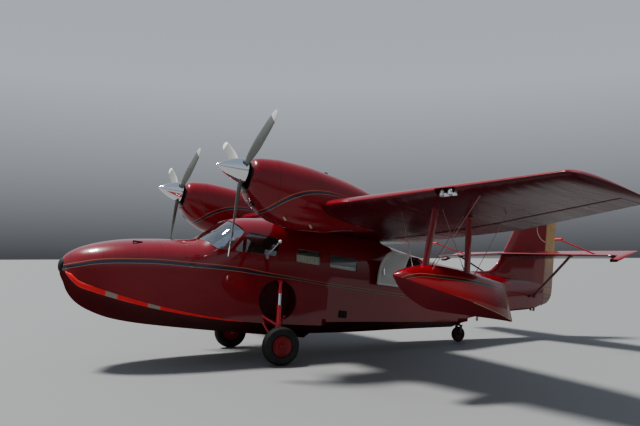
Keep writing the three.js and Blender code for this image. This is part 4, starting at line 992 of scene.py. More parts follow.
def hull_rings(start, end, inset=0.0, ceiling=None):
    """Rings from start to end; the steps in the bottom come out as upright faces."""
    rings = []
    for sections, low, high, whole in (
        (FORE, 0.0, SECOND_TABLE_FROM, 120),
        (MIDDLE, SECOND_TABLE_FROM, THIRD_TABLE_FROM, 60),
        (AFT, THIRD_TABLE_FROM, HULL_END, 40),
    ):
        first, last = max(low, start), min(high, end)
        if first >= last:
            continue
        count = max(6, int(whole * (last - first) / (high - low)))
        stations = fore_stations(first, last, count) if sections is FORE else np.linspace(first, last, count)
        rings += [hull_ring(sections.at(y), inset, ceiling) for y in stations]
    return rings


def hull_skin(start=0.0, end=HULL_END, inset=0.0, ceiling=None):
    return loft(hull_rings(start, end, inset, ceiling))


def cabin_room(inset, floor, top, ceiling=None):
    """The air in the cabin, pulled in from the wall by inset."""
    wall = bpy.context.scene.flying_boat.hull.wall
    body = hull_skin(CABIN.start + inset, CABIN.end - inset, wall + inset, ceiling)
    return common(body, block((-1, CABIN.front, floor), (1, CABIN.back, top)))


def well_room(sign, grow=0.0):
    """The round space of a wheel well, from its bottom out past the hull's side."""
    ends = sorted((sign * (WELL.bottom_x - grow), sign * 1.0))
    return prism(circle(WELL.y, WELL.z, WELL.radius + grow, 64), *ends)


def door_room(grow=0.0):
    swept = rod((DOOR_HINGE.x, DOOR_HINGE.y, 0.8), (DOOR_HINGE.x, DOOR_HINGE.y, 1.8), DOOR_WIDTH + grow, 160)
    return common(prism(rounded(grown(DOOR_OUTLINE, grow), 0.02), 0.2, 1.0), swept)


def make_hull():
    skin = cut(hull_skin(), cabin_room(0, CABIN.floor, 2.2, CABIN.ceiling))
    for outline, corner in OPENINGS:
        skin = cut(skin, prism(rounded(outline, corner), -1.0, 1.0))
    skin = cut(skin, door_room(), well_room(1), well_room(-1))
    chines = [(row[0], row[3]) for row in HULL_FORE[:-1] + HULL_MIDDLE[:-1] + HULL_AFT]

    def rule(centres, normals):
        """0 glossy sides and deck, 1 the darker bottom under the chine, a painted shade, 2 the cabin wall's
        inner faces.
        """
        x, y, z = centres.T
        below = z < np.interp(y, *zip(*chines)) - 0.001
        inward = (normals[:, 0] * x < 0) & (y > CABIN.front + 0.1) & (y < CABIN.back) & (abs(x) < 0.72)
        return np.where(inward, 2, np.where(below, 1, 0))

    settle(skin, "hull_skin", "airframe", "red_paint", ["hull red", "bottom maroon", "seal black"],
           ["bow_hull", "planing_bottom", "side_wall_port", "side_wall_starboard", "cabin_roof",
            "windscreen_frame", "stern_hull"], rule=rule)


def shell_between(start, end, outer, inner):
    """The layer of the hull's skin between two depths."""
    return cut(hull_skin(start, end, outer), hull_skin(start - 0.01, end + 0.01, inner))


def make_windows():
    seal = bpy.context.scene.flying_boat.hull.seal
    inner = PANE.depth + PANE.thickness
    screen = common(shell_between(SCREEN_FROM, SCREEN_TO, PANE.depth, inner),
                    prism(rounded(SCREEN_OUTLINE, SCREEN_ROUND), -1, 1))
    settle(screen, "windscreen_pane", "airframe", "clear_glass", "screen glass",
           ["windscreen_glass_port", "windscreen_glass_starboard"])
    for name, outline, corner, nodes in SIDE_WINDOWS:
        start, end = min(y for y, _ in outline) - 0.1, max(y for y, _ in outline) + 0.1
        body = common(shell_between(start, end, PANE.depth, inner), prism(rounded(outline, corner), 0.2, 1))
        settle_pair(body, f"{name}_pane_{{}}", "airframe", "clear_glass", "clear glass", nodes)
        trim = common(shell_between(start, end, -0.003, 0.004),
                      prism(rounded(grown(outline, seal), corner + seal), 0.2, 1))
        trim = cut(trim, prism(rounded(grown(outline, -0.004), corner), 0.2, 1))
        settle_pair(trim, f"{name}_seal_{{}}", "airframe", "bumper_rubber", "plain red")
    trim = common(shell_between(SCREEN_FROM, SCREEN_TO, -0.004, 0.004),
                  prism(rounded(grown(SCREEN_OUTLINE, 0.008), SCREEN_ROUND + 0.005), -1, 1))
    trim = cut(trim, prism(rounded(grown(SCREEN_OUTLINE, -0.008), SCREEN_ROUND - 0.005), -1, 1))
    settle(trim, "windscreen_seal", "airframe", "red_paint", "plain red")


def strake_ring(y, t):
    """One section of the strip along the chine, t of the way along it."""
    row, ahead = FORE.at(y), FORE.at(y + 0.02)
    run = Vector((ahead.chine_x - row.chine_x, 0.02)).normalized()
    out = Vector((run.y, -run.x))
    high = lerp(*STRAKE.high, min(1, y / 2.5)) * min(1, 0.35 + t * 9)
    deep = lerp(*STRAKE.deep, t)
    ring = []
    for angle in angles(16):
        c, s = math.cos(angle), math.sin(angle)
        across = math.copysign(abs(c) ** 0.6, c) * deep
        up = math.copysign(abs(s) ** 0.6, s) * high / 2
        ring.append((row.chine_x + out.x * across, y + out.y * across, row.chine_z + up + 0.25 * across))
    return ring


def make_strakes():
    """The rubbing strip along the chine, deep at the bow and running out to nothing aft."""
    ys = fore_stations(STRAKE.start, STRAKE.end, 110)
    rings = [strake_ring(y, i / (len(ys) - 1)) for i, y in enumerate(ys)]
    settle_pair(loft(rings), "chine_strake_{}", "airframe", "red_paint", "strake red")
    bumper = cut(ball((0, 0.027, 0.770), (0.120, 0.060, 0.110), 30), hull_skin(0, 0.6, -0.001))
    settle(bumper, "bow_fender", "airframe", "bumper_rubber", "bumper rubber", ["bow_bumper"])
    x, y = HATCH.latch_x, HATCH.latch_y
    row = FORE.at(y)
    deck = row.side_z + (row.crown - row.side_z) * (1 - (x / row.side_x) ** row.power) ** (1 / row.power)
    low, high = deck - 0.01, deck + 0.018
    latch = [rod((x, y - 0.05, high), (x, y + 0.09, high), 0.011, 20)]
    latch += [rod((x, y + foot, low), (x, y + foot, high), 0.008, 16) for foot in (-0.04, 0.08)]
    settle_pair(joined(*latch), "hatch_latch_{}", "airframe", "bumper_rubber", "seal black")


def opened(body):
    """Turns a piece of the closed door about its hinge to where the door stands."""
    return swung(body, DOOR_HINGE, -DOOR_OPEN, "Z")


def hinge_bar(z, length, radius):
    return rod((DOOR_HINGE.x, DOOR_HINGE.y, z), (DOOR_HINGE.x, DOOR_HINGE.y, z + length), radius, 24)


def hinge_plate(low, high):
    """A plate of a hinge, from low to high, both measured from the hinge's axis."""
    return block(DOOR_HINGE + Vector(low), DOOR_HINGE + Vector(high))


def make_door():
    wall = bpy.context.scene.flying_boat.hull.wall
    skin = common(shell_between(DOOR_FROM, DOOR_TO, 0.0, 0.004), door_room(-DOOR_GAP))
    trim = common(shell_between(DOOR_FROM, DOOR_TO, 0.0045, wall), door_room(-DOOR_GAP - 0.002))
    panel = common(shell_between(DOOR_FROM, DOOR_TO, wall - 0.0005, wall + 0.0015), door_room(-0.045))
    settle(opened(skin), "door_skin", "cabin_door", "red_paint", "plain red", ["cabin_door"])
    settle(opened(trim), "door_edge", "cabin_door", "seat_fabric", "door edge")
    settle(opened(panel), "door_lining", "cabin_door", "seat_fabric", "door lining")
    y, z = DOOR_GRIP.y, DOOR_GRIP.z
    x = hull_x(y, z) - wall
    grip = joined(rod((x + 0.004, y, z), (x - 0.024, y, z), 0.009, 20),
                  rod((x - 0.020, y + 0.002, z + 0.015), (x - 0.020, y - 0.01, z - 0.085), 0.008, 20),
                  rod((x + 0.002, y, z), (x - 0.004, y, z), 0.024, 28))
    settle(opened(grip), "door_grip", "cabin_door", "polished_metal", "chrome")
    leaves, fixed = [], []
    for z in DOOR_HINGE_HEIGHTS:
        low = z + LEAF.lift
        leaves += [hinge_bar(low, LEAF.thickness, LEAF.barrel),
                   hinge_plate((-0.040, 0.002, low), (-0.006, 0.040, low + LEAF.thickness))]
        fixed += [hinge_bar(z, LEAF.thickness, LEAF.barrel), hinge_bar(z, LEAF.pin_length, LEAF.pin),
                  hinge_plate((-0.030, -0.024, z), (-0.002, -0.002, z + LEAF.thickness))]
    settle(opened(joined(*leaves)), "door_hinges", "cabin_door", "polished_metal", "dull metal")
    settle(joined(*fixed), "wall_hinges", "airframe", "polished_metal", "dull metal")


# THE CABIN
CLOTH_FRAMES = 20
CUSHION_FILL = 0.6
SEAT = SimpleNamespace(depth=0.460, cushion=0.110, back=0.095, height=0.560, top=0.720, rail=0.600,
                       foot=0.432)
SEATS = (
    ("pilot", 0.252, 2.470, 0.430, "pilot_seat"),
    ("copilot", -0.252, 2.470, 0.430, "copilot_seat"),
    ("bench", 0.0, 3.900, 1.080, "rear_bench"),
)
SEAT_FEET = (0.06, 0.40)
DIALS = SimpleNamespace(rows=(1.275, 1.175), count=8, pitch=0.128, shift=0.02)
DIAL_PROFILE = ((0, 2.1755), (0.036, 2.1755), (0.038, 2.181), (0.044, 2.181), (0.046, 2.172), (0, 2.172))
YOKE = SimpleNamespace(x=0.252, y=2.400, z=1.085, half_width=0.115, half_height=0.105, open=2.2)
CURTAINS = (("second", WINDOW_TWO, 1.335), ("third", WINDOW_THREE, 1.245))
CURTAIN = SimpleNamespace(foot=1.17, fold=0.005, pitch=0.045, thickness=0.002)
PROBE_HEAD = Vector((0.800, 3.050, 1.490))


def points_of(body):
    flat = np.zeros(len(body.data.vertices) * 3)
    body.data.vertices.foreach_get("co", flat)
    return flat.reshape(-1, 3)


def puffed(low, high, fill):
    """A cushion: a soft block blown up as cloth, each point held within the cap."""
    cabin = bpy.context.scene.flying_boat.cabin
    inset = cabin.cap * 0.8
    body = bevelled(block([v + inset for v in low], [v - inset for v in high]), 0.022, 3)
    step = body.modifiers.new("even", "REMESH")
    step.mode = "VOXEL"
    step.voxel_size = cabin.voxel
    made_plain(body)
    before = points_of(body)
    cloth = body.modifiers.new("blow", "CLOTH")
    cloth.settings.quality = 4
    cloth.settings.use_pressure = True
    cloth.settings.uniform_pressure_force = cabin.pressure
    cloth.settings.effector_weights.gravity = 0
    for frame_number in range(1, CLOTH_FRAMES + 1):
        bpy.context.scene.frame_set(frame_number)
    made_plain(body)
    bpy.context.scene.frame_set(1)
    move = points_of(body) - before
    far = np.linalg.norm(move, axis=1, keepdims=True)
    move *= np.minimum(1, cabin.cap / np.maximum(far, 1e-9))
    body.data.vertices.foreach_set("co", (before + move).ravel())
    step = body.modifiers.new("smooth", "SUBSURF")
    step.levels = step.render_levels = 1
    made_plain(body)
    return body


def seat_frame(x, y, width):
    """Tubes that carry a seat pan."""
    half = width / 2 - 0.03
    front, back = (y + foot for foot in SEAT_FEET)
    parts = []
    for side in (x - half, x + half):
        parts.append(tube([(side, front, SEAT.foot), (side, front, SEAT.rail), (side, back, SEAT.rail),
                           (side, back, SEAT.foot)], 0.012))
    parts += [rod((x - half, at, SEAT.rail), (x + half, at, SEAT.rail), 0.010) for at in (front, back)]
    return joined(*parts)


def seat_piping(low, high):
    """The sewn cord round a cushion's upper edge."""
    inset = 0.012
    x0, y0, x1, y1 = low[0] + inset, low[1] + inset, high[0] - inset, high[1] - inset
    outline = rounded([(x0, y0), (x1, y0), (x1, y1), (x0, y1)], 0.03)
    return tube([(x, y, high[2] - 0.016) for x, y in outline + outline[:2]], 0.005)


def make_seats():
    for name, x, y, width, node in SEATS:
        left, right, back, low = x - width / 2, x + width / 2, y + SEAT.depth, SEAT.top - SEAT.cushion
        corners = (left, y, low), (right, back - SEAT.back, SEAT.top)
        settle(puffed(*corners, CUSHION_FILL), f"{name}_cushion", "airframe", "seat_fabric", "seat cloth",
               [node], sharp=80)
        settle(seat_piping(*corners), f"{name}_piping", "airframe", "seat_fabric", "door edge", sharp=60)
        rest = puffed((left, back - SEAT.back, low), (right, back, SEAT.top + SEAT.height), CUSHION_FILL)
        settle(rest, f"{name}_back", "airframe", "seat_fabric", "seat cloth", sharp=80)
        settle(seat_frame(x, y, width), f"{name}_frame", "airframe", "polished_metal", "dull metal")


def make_lining():
    lining = cabin_room(0.002, CABIN.floor + 0.0105, 1.700)
    lining = cut(lining, cabin_room(0.008, CABIN.floor + 0.0165, 1.694))
    for outline, corner in OPENINGS:
        lining = cut(lining, prism(rounded(grown(outline, 0.003), corner), -1.0, 1.0))
    lining = cut(lining, door_room(0.003), well_room(1, 0.003), well_room(-1, 0.003))
    settle(lining, "cabin_lining", "airframe", "seat_fabric", "cabin lining")


def make_dash():
    """The instrument panel with its dials, its shade and the control wheel."""
    wall = bpy.context.scene.flying_boat.hull.wall
    panel = common(block((-0.600, 2.120, 1.080), (0.600, 2.170, 1.360)), hull_skin(1.95, 2.6, wall + 0.010))
    shade = common(block((-0.600, 2.105, 1.352), (0.600, 2.255, 1.366)), hull_skin(1.95, 2.6, wall + 0.010))
    dials = []
    for row, z in enumerate(DIALS.rows):
        for i in range(DIALS.count):
            x = (i - (DIALS.count - 1) / 2) * DIALS.pitch + row * DIALS.shift
            dials.append(turned(DIAL_PROFILE, (x, 0, z), (0, 1, 0), 32))
    rim = [(YOKE.x + YOKE.half_width * math.sin(a), YOKE.y, YOKE.z + YOKE.half_height * math.cos(a))
           for a in np.linspace(-YOKE.open, YOKE.open, 25)]
    column = joined(rod((YOKE.x, 2.170, 1.120), (YOKE.x, YOKE.y, 1.080), 0.016, 24), tube(rim, 0.012, 14),
                    rod((0.145, YOKE.y, YOKE.z), (0.360, YOKE.y, YOKE.z), 0.012, 18))
    settle(panel, "dash_panel", "airframe", "panel_black", "panel black", ["instrument_panel"])
    settle(joined(*dials), "dash_dials", "airframe", "panel_black", "dial face")
    settle(shade, "dash_shade", "airframe", "panel_black", "seal black")
    settle(column, "control_yoke", "airframe", "panel_black", "satin black")


def make_curtains():
    wall = bpy.context.scene.flying_boat.hull.wall
    for name, outline, top in CURTAINS:
        start, end = outline[0][0] - 0.01, outline[1][0] + 0.01
        rings = []
        for y in np.linspace(start, end, 80):
            fold = CURTAIN.fold * math.sin((y - start) * 2 * math.pi / CURTAIN.pitch)
            low, high = (hull_x(y, z) - wall - 0.022 + fold for z in (CURTAIN.foot, top))
            rings.append([(low, y, CURTAIN.foot), (low + CURTAIN.thickness, y, CURTAIN.foot),
                          (high + CURTAIN.thickness, y, top), (high, y, top)])
        settle_pair(loft(rings), f"curtain_{name}_{{}}", "airframe", "seat_fabric", "curtain")


def make_side_fittings():
    """The drain plates, the air probe and the bars on the cockpit windows."""
    recess = common(shell_between(4.2, 4.45, -0.001, 0.004), block((0.3, 4.222, 0.412), (1, 4.380, 0.528)))
    settle_pair(recess, "drain_plate_{}", "airframe", "bumper_rubber", "seal black")
    probe = joined(rod((0.700, 2.862, 1.190), PROBE_HEAD, 0.010, 20),
                   ball((0.722, 2.900, 1.245), (0.022, 0.030, 0.050), 20))
    settle(probe, "air_probe", "airframe", "polished_metal", "probe grey")
    bar = rod((0.655, 2.574, 1.462), (0.655, 2.562, 1.236), 0.009, 18)
    settle_pair(bar, "window_bar_{}", "airframe", "polished_metal", "white paint")
    settle(ball(PROBE_HEAD, (0.026,) * 3, 18), "air_probe_ball", "airframe", "polished_metal", "white paint")


# THE WING
RIBS = [SimpleNamespace(**dict(zip(WING_COLUMNS, row))) for row in WING_RIBS]


def rib_at(x):
    outer = next(i for i, rib in enumerate(RIBS) if i and rib.x >= min(abs(x), RIBS[-1].x))
    a, b = RIBS[outer - 1], RIBS[outer]
    t = (abs(x) - a.x) / (b.x - a.x)
    return SimpleNamespace(**{name: lerp(getattr(a, name), getattr(b, name), t) for name in WING_COLUMNS})


def thick(share, thickness):
    """Half thickness of the airfoil at a share of the chord."""
    s = np.asarray(share, float)
    return 5 * thickness * (0.2969 * np.sqrt(s) - 0.126 * s - 0.3516 * s ** 2 + 0.2843 * s ** 3
                            - 0.1015 * s ** 4)


def middle(share):
    s = np.asarray(share, float)
    return 4 * CAMBER * s * (1 - s)


def chord_of(rib):
    return math.hypot(rib.trail_y - rib.lead_y, rib.trail_z - rib.lead_z)


def on_rib(rib, along, across, x):
    """The point of a rib at a share of its chord and a height over the chord line, moved to x."""
    chord = chord_of(rib)
    dy, dz = (rib.trail_y - rib.lead_y) / chord, (rib.trail_z - rib.lead_z) / chord
    y = rib.lead_y + chord * (along * dy - across * dz)
    z = rib.lead_z + chord * (along * dz + across * dy)
    return (x, y, z)


def even_shares(steps):
    """Shares of a chord from 0 to 1, close together at both ends."""
    return (1 - np.cos(np.pi * np.linspace(0, 1, steps))) / 2


def rib_faces(rib, shares, x, squeeze=1.0):
    """The upper points of a rib from tail to nose and the lower ones from nose to tail."""
    half, mean = thick(shares, rib.thickness) * squeeze, middle(shares)
    top = [on_rib(rib, s, m + h, x) for s, m, h in zip(shares, mean, half)][::-1]
    return top, [on_rib(rib, s, m - h, x) for s, m, h in zip(shares, mean, half)]


def wing_ring(x, squeeze=1.0):
    top, bottom = rib_faces(rib_at(x), even_shares(31), x, squeeze)
    return top + bottom[1:]


def hinge_at(x, chord):
    rib = rib_at(x)
    along = 1 - chord / chord_of(rib)
    radius = float(thick(along, rib.thickness)) * chord_of(rib)
    return rib, along, radius, Vector(on_rib(rib, along, float(middle(along)), x))


def surface_ring(x, chord):
    """Trailing surface with a round nose on its hinge line."""
    rib, along, radius, centre = hinge_at(x, chord)
    top, bottom = rib_faces(rib, np.linspace(along, 1, 12), x)
    nose = [(x, centre.y - math.sin(a) * radius, centre.z + math.cos(a) * radius)
            for a in np.linspace(0, math.pi, 13)[1:-1]]
    return top + nose + bottom


def surface_body(spec):
    xs = np.linspace(spec.inner, spec.outer, SURFACE_RINGS)
    chords = [lerp(spec.chord_in, spec.chord_out, i / (SURFACE_RINGS - 1)) for i in range(SURFACE_RINGS)]
    return loft([surface_ring(x, chord) for x, chord in zip(xs, chords)])


def surface_room(spec):
    """The space that a flap or aileron needs in the wing."""
    rings = []
    for x, chord in ((spec.inner - MOVING_GAP, spec.chord_in), (spec.outer + MOVING_GAP, spec.chord_out)):
        _, _, radius, centre = hinge_at(x, chord)
        front, back = centre.y - radius - MOVING_GAP, centre.y + chord + 0.2
        low, high = centre.z - 0.3, centre.z + 0.3
        rings.append([(x, front, low), (x, back, low), (x, back, high), (x, front, high)])
    return loft(rings)


def painted_shade_faces(centres, normals):
    """0 on top, 1 where a surface looks down or ahead and takes the darker red of a painted shade."""
    return np.where(normals[:, 2] < DOWNWARD, 1, 0)


def make_wing():
    reds = ["wing red", "wing under"]
    half_xs = np.linspace(0, CENTRE_HALF_SPAN, 16)
    centre = loft([wing_ring(x) for x in np.concatenate([-half_xs[1:][::-1], half_xs])])
    room = surface_room(FLAP)
    centre = cut(centre, mirrored(room), room)
    settle(centre, "wing_middle", "airframe", "red_paint", ["plain red", "plain under"], ["wing_centre"],
           rule=painted_shade_faces)
    rings = [wing_ring(x) for x in np.linspace(CENTRE_HALF_SPAN, TIP_FROM, 34)]
    for t in (0.35, 0.65, 0.88, 1.0):
        rings.append(wing_ring(lerp(TIP_FROM, TIP_TO, t), math.sqrt(max(0.02, 1 - t * t))))
    panel = cut(loft(rings), surface_room(FLAP), surface_room(AILERON))
    other = mirrored(panel)
    panel = cut(panel, block(*LAMP_BAY))
    for side, body in (("port", panel), ("starboard", other)):
        settle(body, f"outer_wing_{side}", "airframe", "red_paint", reds, [f"wing_panel_{side}"],
               rule=painted_shade_faces)
    for name, spec in (("flap", FLAP), ("aileron", AILERON)):
        settle_pair(surface_body(spec), f"wing_{name}_{{}}", f"{name}_{{}}", "red_paint", reds,
                    [f"{name}_{{}}"], rule=painted_shade_faces)


def make_lamps():
    """Two lamps in the bay of the port leading edge, each a bright bowl behind a clear lens."""
    (low_x, _, _), (high_x, back_y, _) = LAMP_BAY
    plate = block((low_x + 0.03, back_y - 0.014, LAMP.z - 0.03),
                  (high_x - 0.03, back_y - 0.001, LAMP.z + 0.03))
    bowls, lenses = [bevelled(plate, 0.003)], []
    r, deep = LAMP.radius, LAMP.length
    bowl = [(0, deep), (r * 0.6, deep), (r * 0.98, deep * 0.4), (r, 0), (r * 0.92, 0.0),
            (r * 0.8, deep * 0.3), (r * 0.45, deep * 0.70), (0, deep * 0.8)]
    lens = [(0, -0.012), (r * 0.5, -0.009), (r * 0.9, -0.002), (r * 0.97, 0.002), (0, 0.000)]
    for x in LAMP_SPOTS:
        bowls.append(turned(bowl, (x, LAMP.front, LAMP.z), (0, 1, 0), 40))
        lenses.append(turned(lens, (x, LAMP.front, LAMP.z), (0, 1, 0), 40))
    settle(joined(*bowls), "lamp_bowls", "airframe", "polished_metal", "lamp bowl", ["landing_lamps"])
    settle(joined(*lenses), "lamp_lenses", "airframe", "clear_glass", "lamp lens")
    for side, x, look in (("port", TIP_LAMP_X, "lamp red"), ("starboard", -TIP_LAMP_X, "lamp green")):
        lamp = ball((x, 3.700, TIP_LAMP_Z), (0.016, 0.040, 0.015), 16)
        strobe = ball((x * 0.998, 3.800, TIP_LAMP_Z), (0.020, 0.034, 0.018), 16)
        settle(lamp, f"tip_lamp_{side}", "airframe", "clear_glass", look)
        settle(strobe, f"tip_strobe_{side}", "airframe", "clear_glass", "lamp white")


# THE TAIL
TAIL_SECTIONS = [SimpleNamespace(**dict(zip(TAIL_COLUMNS, row))) for row in TAIL_RIBS]
TAIL_SHARES = 27


def fin_ring(z, squeeze=1.0):
    lead = float(monotone(*zip(*FIN_LEAD))(z)) if z < FIN_LEAD[-1][0] else FIN_LEAD[-1][1]
    narrow = lerp(1, 0.6, (z - 1.2) / 2.3)
    ys = lerp(lead, FIN_TRAIL, even_shares(44))
    full = np.interp(ys, *zip(*FIN_HALVES)) * narrow
    nose = np.sqrt(np.clip(1 - (1 - np.clip((ys - lead) / 0.17, 0, 1)) ** 2, 0, 1))
    halves = full * nose * squeeze
    return [(h, y, z) for y, h in zip(ys, halves)] + [(-h, y, z) for y, h in zip(ys, halves)][1:][::-1]


def rudder_ring(z, back):
    """One section of the rudder, with a round nose on its hinge line."""
    nose = [(math.cos(a) * RUDDER_NOSE, RUDDER_HINGE_Y - math.sin(a) * RUDDER_NOSE, z)
            for a in np.linspace(0, math.pi, 17)]
    run = np.linspace(0, 1, 12)[1:]
    side = [(lerp(RUDDER_NOSE, 0.003, s ** 1.15), lerp(RUDDER_HINGE_Y, back, s)) for s in run]
    return nose + [(-w, y, z) for w, y in side] + [(w, y, z) for w, y in side][::-1]


def make_fin():
    cap = FIN_LEAD[-1][0] - FIN_CAP
    rings = [fin_ring(z) for z in np.concatenate([np.linspace(1.40, 2.1, 36), np.linspace(2.1, cap, 30)[1:]])]
    rings += [fin_ring(cap + FIN_CAP * t, math.sqrt(max(0.01, 1 - t * t))) for t in (0.4, 0.7, 0.9, 1.0)]
    fin = loft(rings)
    brackets = [block((-0.014, 9.150, 3.341), (0.014, 9.239, 3.355)),
                rod((0, RUDDER_HINGE_Y, 3.300), (0, RUDDER_HINGE_Y, 3.357), 0.009),
                block((-0.014, 9.120, 1.010), (0.014, 9.239, 1.024)),
                rod((0, RUDDER_HINGE_Y, 1.006), (0, RUDDER_HINGE_Y, 1.070), 0.009)]
    settle(joined(*brackets), "rudder_brackets", "airframe", "polished_metal", "dull metal")
    settle(fin, "tail_fin", "airframe", "red_paint", "fin red", ["fin"])


def make_rudder():
    """The rudder with the outline of its tab cut in as a slit, and the tab's rod."""
    trail = monotone(*zip(*RUDDER_TRAIL))
    low, high = RUDDER_TRAIL[0][0], RUDDER_TRAIL[-1][0]
    zs = np.concatenate([np.linspace(low, 1.4, 26), np.linspace(1.4, 3.0, 20)[1:],
                         np.linspace(3.0, high, 26)[1:]])
    rudder = loft([rudder_ring(z, float(trail(z))) for z in zs])
    tab = TRIM_TAB
    for start, end in (
        ((tab.front, tab.low), (tab.front + tab.slit, tab.high)),
        ((tab.front, tab.low), (tab.back, tab.low + tab.slit)),
        ((tab.front, tab.high - tab.slit), (tab.back, tab.high)),
    ):
        for x0, x1 in ((-0.05, -0.004), (0.004, 0.05)):
            rudder = cut(rudder, block((x0, *start), (x1, *end)))
    settle(rudder, "rudder_blade", "rudder", "gold_paint", "rudder gold", ["rudder"])
    corner = (0.058, 9.25, 1.66)
    horn = joined(rod((0.02, 9.25, 1.66), corner, 0.006, 16), rod(corner, (0.034, 9.41, 1.66), 0.003, 12))
    settle(horn, "tab_rod", "rudder", "polished_metal", "dull metal")


def tail_ring(x, squeeze=1.0):
    outer = next(i for i, rib in enumerate(TAIL_SECTIONS) if i and rib.x >= min(x, TAIL_SECTIONS[-1].x))
    a, b = TAIL_SECTIONS[outer - 1], TAIL_SECTIONS[outer]
    t = (x - a.x) / (b.x - a.x)
    lead, trail, thickness = (lerp(getattr(a, n), getattr(b, n), t) for n in TAIL_COLUMNS[1:])
    shares = even_shares(TAIL_SHARES)
    half = thick(shares, thickness) * squeeze * (trail - lead)
    ys = lerp(lead, trail, shares)
    top = [(x, y, TAILPLANE_Z + h) for y, h in zip(ys, half)][::-1]
    return top + [(x, y, TAILPLANE_Z - h) for y, h in zip(ys, half)][1:]


def elevator_half(x):
    """Half the tailplane's thickness on the elevator's hinge line."""
    top = tail_ring(x)[:TAIL_SHARES]
    return float(np.interp(ELEVATOR_HINGE.y, *zip(*sorted((y, z - TAILPLANE_Z) for _, y, z in top))))


def tail_box(x0, y0, x1=2.6, y1=9.1):
    return block((x0, y0, TAILPLANE_Z - 0.22), (x1, y1, TAILPLANE_Z + 0.28))


def elevator_nose(spec, y):
    """The round front of the elevator between its root and its horn."""
    rings = []
    for x in np.linspace(spec.inner, spec.horn_from, 12):
        half = elevator_half(x)
        ring = [(x, y - math.cos(a) * 0.027, TAILPLANE_Z + math.sin(a) * half)
                for a in np.linspace(-math.pi / 2, math.pi / 2, 15)]
        rings.append(ring + [(x, y + 0.004, TAILPLANE_Z + side * half * 0.9) for side in (1, -1)])
    return loft(rings)


def balance_arms():
    """The arms that carry the elevator's weights ahead of its hinge."""
    arm = BALANCE_ARM
    root, tip = (arm.x, *arm.root), (arm.x, *arm.tip)
    return joined(rod(root, tip, arm.radius),
                  rod(root, (arm.x, ELEVATOR_HINGE.y + 0.034, TAILPLANE_Z + 0.008), arm.radius),
                  rod((arm.x - arm.cross / 2, *arm.tip), (arm.x + arm.cross / 2, *arm.tip), 0.022, 24),
                  ball(root, (0.020, 0.020, 0.020), 14))


def make_tailplane():
    spec, y = ELEVATOR, ELEVATOR_HINGE.y
    tip = TAIL_RIBS[1][0]
    xs = np.concatenate([np.linspace(0, tip, 26), [2.455, 2.468, 2.476, 2.480]])
    blank = loft([tail_ring(x, math.sqrt(max(0.02, 1 - max(0, (x - tip) / 0.041) ** 2))) for x in xs])
    plane = cut(copied(blank), tail_box(-0.1, y - spec.nose - MOVING_GAP),
                tail_box(spec.horn_from - MOVING_GAP, y - spec.horn_reach - MOVING_GAP))
    reds = ["plain red", "plain under"]
    settle(joined(mirrored(plane), plane), "tail_plane", "airframe", "red_paint", reds, ["tailplane"],
           rule=painted_shade_faces)
    band = common(copied(blank), tail_box(spec.inner, y, spec.outer))
    horn = common(blank, tail_box(spec.horn_from, y - spec.horn_reach, spec.outer, y + 0.01))
    surface = swung(joined(band, horn, elevator_nose(spec, y)), ELEVATOR_HINGE, math.radians(spec.up), "X")
    arms = balance_arms()
    settle_pair(surface, "elevator_blade_{}", "elevator", "red_paint", reds, ["elevator_{}"], rule=painted_shade_faces)
    # The balance arms take the lighter red of painted sunlight
    settle_pair(arms, "elevator_balance_{}", "elevator", "red_paint", "bright red")


def make_tail_fittings():
    """The tube that joins the elevators, and the struts under the tailplane."""
    reach = ELEVATOR.inner + 0.02
    bar = rod((-reach, *ELEVATOR_HINGE.yz), (reach, *ELEVATOR_HINGE.yz), 0.020, 32)
    settle(bar, "elevator_tube", "elevator", "red_paint", "dull metal")
    brace = TAIL_STRUT
    x, y, z = brace.head
    ends = joined(strut(brace.foot, brace.head, brace.chord, brace.depth),
                  ball(brace.foot, (0.035, 0.05, 0.035), 14),
                  block((x - 0.012, y - 0.04, z - 0.02), (x + 0.012, y + 0.04, z + 0.01)))
    settle_pair(ends, "tail_brace_{}", "airframe", "dark_red_paint", "dark red", ["tailplane_strut_{}"])


# THE FLOATS
FLOAT = Sections(FLOAT_COLUMNS, FLOAT_ROWS)
FLOAT_CHINE = 7


def float_ring(row):
    """One section of a float, round from its keel; it leans, because keel and deck end at different y."""
    def lean(z):
        return lerp(row.keel_y, row.deck_y, (z - row.keel) / (row.deck - row.keel))

    rise = row.chine_z - row.keel
    half = [(row.chine_x * t, lerp(row.keel, row.chine_z, t) + 0.12 * rise * math.sin(math.pi * t))
            for t in np.linspace(0, 1, FLOAT_CHINE + 1)[1:-1]]
    for angle in np.linspace(0, math.pi / 2, 17)[:-1]:
        c, s = math.cos(angle), math.sin(angle)
        half.append((row.chine_x * c ** 0.9, row.chine_z + (row.deck - row.chine_z) * s ** 0.9))
    return ([(FLOAT_X, lean(row.keel), row.keel)] + [(FLOAT_X + x, lean(z), z) for x, z in half]
            + [(FLOAT_X, lean(row.deck), row.deck)] + [(FLOAT_X - x, lean(z), z) for x, z in half][::-1])


def float_rule(centres, normals):
    """0 above the chine, 1 on the faces that look down, in a duller red of painted shade."""
    return np.where(normals[:, 2] < -0.22, 1, 0)


